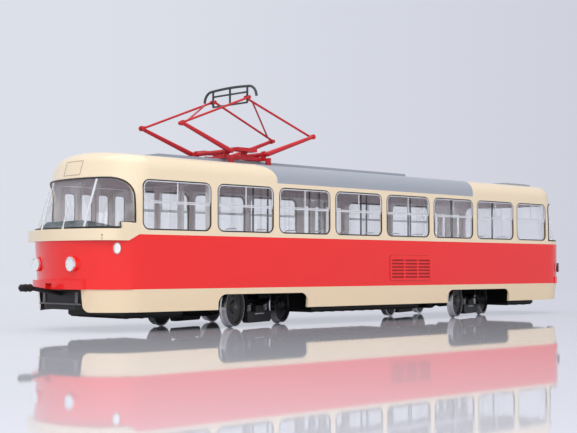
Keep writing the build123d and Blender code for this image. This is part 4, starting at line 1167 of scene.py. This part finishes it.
plates("box_fins", fin_rows, underframe_black, "black_plastic")
plates("box_ribs", rib_rows, underframe_black, "black_plastic")
plates("box_lids", lid_rows, underframe_black, "black_plastic", eased=0.06)
bolts("box_lid_bolts", lid_bolts, 0.0005, 0.0003, guard_grey, "black_metal")

# Bogies
# Black die-cast frames turned to the stop on their pivot pins, with ribbed motors, bolted axle bearings and
# track brakes. Each brake shoe hangs from two arms by coil springs; a bright steel strip along it is a painted
# highlight.
bogie_black = moulded("bogie_black", (0.005, 0.005, 0.005, 1), (0.012, 0.011, 0.011, 1), 0.4)
# Bright steel for the brake springs, and for the strips that paint a highlight along the brake shoes.
worn_steel = moulded("worn_steel", (0.60, 0.60, 0.61, 1), (0.45, 0.45, 0.46, 1), 0.25, metallic=0.9)
bogie_turn = math.radians(20.0)
axle_z = 0.0086
wheel_half_base = 0.0221
beam_y = 0.0119
brake_y = 0.018
brake_half_width = 0.0014
brake_top_z = 0.0061
arm_z = 0.0094
arm_thickness = 0.0009
arm_along = 0.0076
motor_radius = 0.004
motor_ribs = (0.0075, 0.0098, 0.0121, 0.0144, 0.0167)
bearing_radius = 0.0021

spring_tree, spring_in, spring_out = modifier_tree(
    "coil_springs",
    {
        "Coil Radius": "NodeSocketFloat",
        "Wire Radius": "NodeSocketFloat",
        "Length": "NodeSocketFloat",
        "Turns": "NodeSocketFloat",
    },
)
spring_path = add_node(
    spring_tree,
    "GeometryNodeCurveSpiral",
    {
        "Resolution": 14,
        "Rotations": spring_in.outputs["Turns"],
        "Start Radius": spring_in.outputs["Coil Radius"],
        "End Radius": spring_in.outputs["Coil Radius"],
        "Height": spring_in.outputs["Length"],
    },
)
spring_wire = add_node(
    spring_tree, "GeometryNodeCurvePrimitiveCircle", {"Resolution": 6, "Radius": spring_in.outputs["Wire Radius"]}
)
spring_coil = add_node(
    spring_tree,
    "GeometryNodeCurveToMesh",
    {"Curve": spring_path.outputs[0], "Profile Curve": spring_wire.outputs[0], "Fill Caps": True},
)
spring_turn = add_node(
    spring_tree,
    "FunctionNodeAlignRotationToVector",
    {"Vector": column(spring_tree, "out", "FLOAT_VECTOR")},
    axis="Z",
)
spring_copies = add_node(
    spring_tree,
    "GeometryNodeInstanceOnPoints",
    {
        "Points": spring_in.outputs["Geometry"],
        "Instance": spring_coil.outputs[0],
        "Rotation": spring_turn.outputs[0],
    },
)
end_tree(spring_tree, spring_in, spring_out, spring_copies.outputs[0])


def springs(name, rows, radius, wire, length, turns, finish, slot, body):
    """Coil springs for rows of foot and direction."""
    seed = mesh_object(name, [foot for foot, out in rows])
    carry(seed, out=[Vector(out) for foot, out in rows])
    sizes = {"coil_radius": radius, "wire_radius": wire, "length": length, "turns": turns}
    return made_by(spring_tree, seed, body, slot, finish=finish, **sizes)


along_way = Vector((math.cos(bogie_turn), math.sin(bogie_turn), 0))
across_way = Vector((-math.sin(bogie_turn), math.cos(bogie_turn), 0))
pivots = {"front": Vector((pivot_x, 0, 0)), "rear": Vector((-pivot_x, 0, 0))}
for bogie, pivot in pivots.items():
    body = f"bogie_{bogie}"
    finish_nodes(bogie_black, f"{body}_frame", f"{body}_motors", f"{body}_track_brakes")
    arm_rows = []
    spring_rows = []
    glint_rows = []
    bearing_rows = []
    rib_loops = []
    for side in (1, -1):
        for end in (1, -1):
            arm_reach = brake_y + brake_half_width - beam_y
            arm_middle = pivot + along_way * end * arm_along + across_way * side * (beam_y + arm_reach / 2)
            arm_rows.append((arm_middle + Vector((0, 0, arm_z)), (0.0022, arm_reach, arm_thickness)))
            foot = pivot + along_way * end * arm_along + across_way * side * brake_y
            foot += Vector((0, 0, brake_top_z))
            spring_rows.append((foot, (0, 0, 1)))
            hub = pivot + along_way * end * wheel_half_base + across_way * side * beam_y
            hub += Vector((0, 0, axle_z))
            for i in range(4):
                angle = math.pi / 4 + math.pi / 2 * i
                spot = hub + along_way * bearing_radius * math.cos(angle)
                spot += Vector((0, 0, bearing_radius * math.sin(angle)))
                bearing_rows.append((spot, across_way * side))
        # A bright steel strip along the shoe's outer face: painted highlight.
        glint_middle = pivot + across_way * side * (brake_y + brake_half_width) + Vector((0, 0, 0.0052))
        glint_rows.append((glint_middle, (0.0085, 0.0002, 0.0004)))
    for end in (1, -1):
        for distance in motor_ribs:
            middle = pivot + along_way * end * distance + Vector((0, 0, axle_z))
            rib_loops.append([
                middle + (across_way * math.cos(angle) + Vector((0, 0, math.sin(angle)))) * motor_radius
                for angle in ring_angles
            ])
    plates(f"{body}_brake_arms", arm_rows, bogie_black, "black_metal", body, bogie_turn)
    springs(
        f"{body}_brake_springs", spring_rows, 0.0009, 0.00018, arm_z - arm_thickness / 2 - brake_top_z, 5.0,
        worn_steel, "black_metal", body,
    )
    plates(f"{body}_worn_edges", glint_rows, worn_steel, "wheel_steel", body, bogie_turn)
    bolts(f"{body}_bearing_bolts", bearing_rows, 0.00045, 0.0004, bogie_black, "black_metal", body)
    tubes(f"{body}_motor_ribs", rib_loops, 0.00025, bogie_black, "black_metal", body, closed=True)

# Wheelsets
# Turned steel axles with two flanged wheels; the discs are painted dark grey with bolts round the hub, and
# the treads are left bright.
wheel_rings, rings_in, rings_out = group_of(
    "wheel_rings",
    {"Centre": "NodeSocketVector", "Axle Way": "NodeSocketVector"},
    {"Radius": "NodeSocketFloat", "Rings": "NodeSocketFloat"},
)
rings_place = add_node(wheel_rings, "ShaderNodeTexCoord").outputs["Object"]
rings_offset = add_node(
    wheel_rings, "ShaderNodeVectorMath", {0: rings_place, 1: rings_in.outputs["Centre"]}, operation="SUBTRACT"
)
rings_cross = add_node(
    wheel_rings,
    "ShaderNodeVectorMath",
    {0: rings_offset.outputs[0], 1: rings_in.outputs["Axle Way"]},
    operation="CROSS_PRODUCT",
)
rings_length = add_node(wheel_rings, "ShaderNodeVectorMath", {0: rings_cross.outputs[0]}, operation="LENGTH")
rings_phase = calculate(wheel_rings, "MULTIPLY", rings_length.outputs["Value"], 26000.0)
rings_wave = calculate(wheel_rings, "SINE", rings_phase)
wheel_rings.links.new(rings_length.outputs["Value"], rings_out.inputs["Radius"])
wheel_rings.links.new(rings_wave, rings_out.inputs["Rings"])

tread_from = 0.0079
disc_grey = (0.012, 0.011, 0.012, 1)
tread_steel = (0.62, 0.62, 0.63, 1)
hub_face = 0.0195
disc_face = 0.0187
bolt_circle = 0.0047
wheel_bolts = 8
hub_grey = moulded("hub_grey", (0.045, 0.044, 0.046, 1), (0.07, 0.068, 0.07, 1), 0.35)
for bogie, pivot in pivots.items():
    for number, end in ((1, 1), (2, -1)):
        body = f"wheelset_{bogie}_{number}"
        centre = pivot + along_way * end * wheel_half_base + Vector((0, 0, axle_z))
        wheel_steel, wheel_tree, wheel_shader = shader_of(f"wheel_steel_{bogie}_{number}", {"IOR": 1.5})
        turned = add_node(wheel_tree, "ShaderNodeGroup", node_tree=wheel_rings)
        turned.inputs["Centre"].default_value = centre
        turned.inputs["Axle Way"].default_value = across_way
        bright = calculate(wheel_tree, "GREATER_THAN", turned.outputs["Radius"], tread_from)
        grey = mix_colours(wheel_tree, bright, disc_grey, tread_steel)
        wheel_tree.links.new(grey, wheel_shader.inputs["Base Color"])
        wheel_tree.links.new(bright, wheel_shader.inputs["Metallic"])
        gloss = calculate(wheel_tree, "MULTIPLY", bright, -0.2)
        wheel_tree.links.new(calculate(wheel_tree, "ADD", gloss, 0.42), wheel_shader.inputs["Roughness"])
        rings_bump = add_node(
            wheel_tree, "ShaderNodeBump", {"Height": turned.outputs["Rings"], "Strength": 0.2, "Distance": 0.00002}
        )
        wheel_tree.links.new(rings_bump.outputs[0], wheel_shader.inputs["Normal"])
        finish_nodes(wheel_steel, body)
        bolt_rows = []
        cap_rows = []
        for side in (1, -1):
            out = across_way * side
            cap_rows.append((centre + out * hub_face, out))
            for i in range(wheel_bolts):
                angle = 2 * math.pi * i / wheel_bolts
                spoke = along_way * math.cos(angle) + Vector((0, 0, math.sin(angle)))
                bolt_rows.append((centre + out * disc_face + spoke * bolt_circle, out))
        bolts(f"{body}_bolts", bolt_rows, 0.00045, 0.0004, hub_grey, "black_metal", body)
        bolts(f"{body}_caps", cap_rows, 0.0014, 0.0005, hub_grey, "black_metal", body, sides=16)

# Pantograph
# Thin red-painted metal: a base frame on four ribbed feet, two tapered lower arms on shafts drawn down by
# coil springs, two braced upper frames on bolted pins, and a dark grey collector head.
pantograph_red = moulded(
    "pantograph_red", (0.56, 0.018, 0.026, 1), (0.48, 0.014, 0.02, 1), 0.3, grain_scale=1500.0, bump_strength=0.1
)
head_grey = moulded("head_grey", (0.035, 0.038, 0.042, 1), (0.06, 0.063, 0.068, 1), 0.32)
finish_nodes(pantograph_red, "pantograph_base", "pantograph_lower_front", "pantograph_lower_rear")
finish_nodes(pantograph_red, "pantograph_upper_front", "pantograph_upper_rear")
finish_nodes(head_grey, "pantograph_head")

panto_x = 0.0692
base_spread = 0.0109
foot_y = 0.0134
foot_ring_zs = (0.0709, 0.0715, 0.0721)
foot_ring_radius = 0.0012
foot_ring = [Vector((math.cos(a), math.sin(a), 0)) * foot_ring_radius for a in ring_angles]
foot_rings = [
    [Vector((panto_x + way * base_spread, side * foot_y, z)) + point for point in foot_ring]
    for way in (1, -1)
    for side in (1, -1)
    for z in foot_ring_zs
]
tubes("pantograph_foot_ribs", foot_rings, 0.00022, pantograph_red, "pantograph_red", closed=True)
draw_spring_y = 0.0055
draw_spring_z = 0.0736
draw_spring_start = panto_x - base_spread + 0.0008
draw_rows = [((draw_spring_start, side * draw_spring_y, draw_spring_z), (1, 0, 0)) for side in (1, -1)]
springs(
    "pantograph_draw_springs", draw_rows, 0.0007, 0.0002, 2 * (base_spread - 0.0008), 22.0,
    pantograph_red, "pantograph_red", "car",
)
base_z = 0.07545
for way, half in ((1, "front"), (-1, "rear")):
    lower_low, lower_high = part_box(f"pantograph_lower_{half}")
    upper_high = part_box(f"pantograph_upper_{half}")[1]
    knuckle_x = lower_high.x - 0.00115 if way > 0 else lower_low.x + 0.00115
    knuckle_z = lower_high.z - 0.00115
    pin_rows = [((knuckle_x, side * upper_high.y, knuckle_z), (0, side, 0)) for side in (1, -1)]
    upper = f"pantograph_upper_{half}"
    bolts(f"{upper}_pins", pin_rows, 0.0007, 0.0003, pantograph_red, "pantograph_red", upper)
    shaft_x = panto_x + way * base_spread
    shaft_y = 0.0129 + 0.00115
    shaft_rows = [((shaft_x, side * (shaft_y - 0.0001), base_z), (0, side, 0)) for side in (1, -1)]
    lower = f"pantograph_lower_{half}"
    bolts(f"{lower}_nuts", shaft_rows, 0.0011, 0.0005, pantograph_red, "pantograph_red", lower)
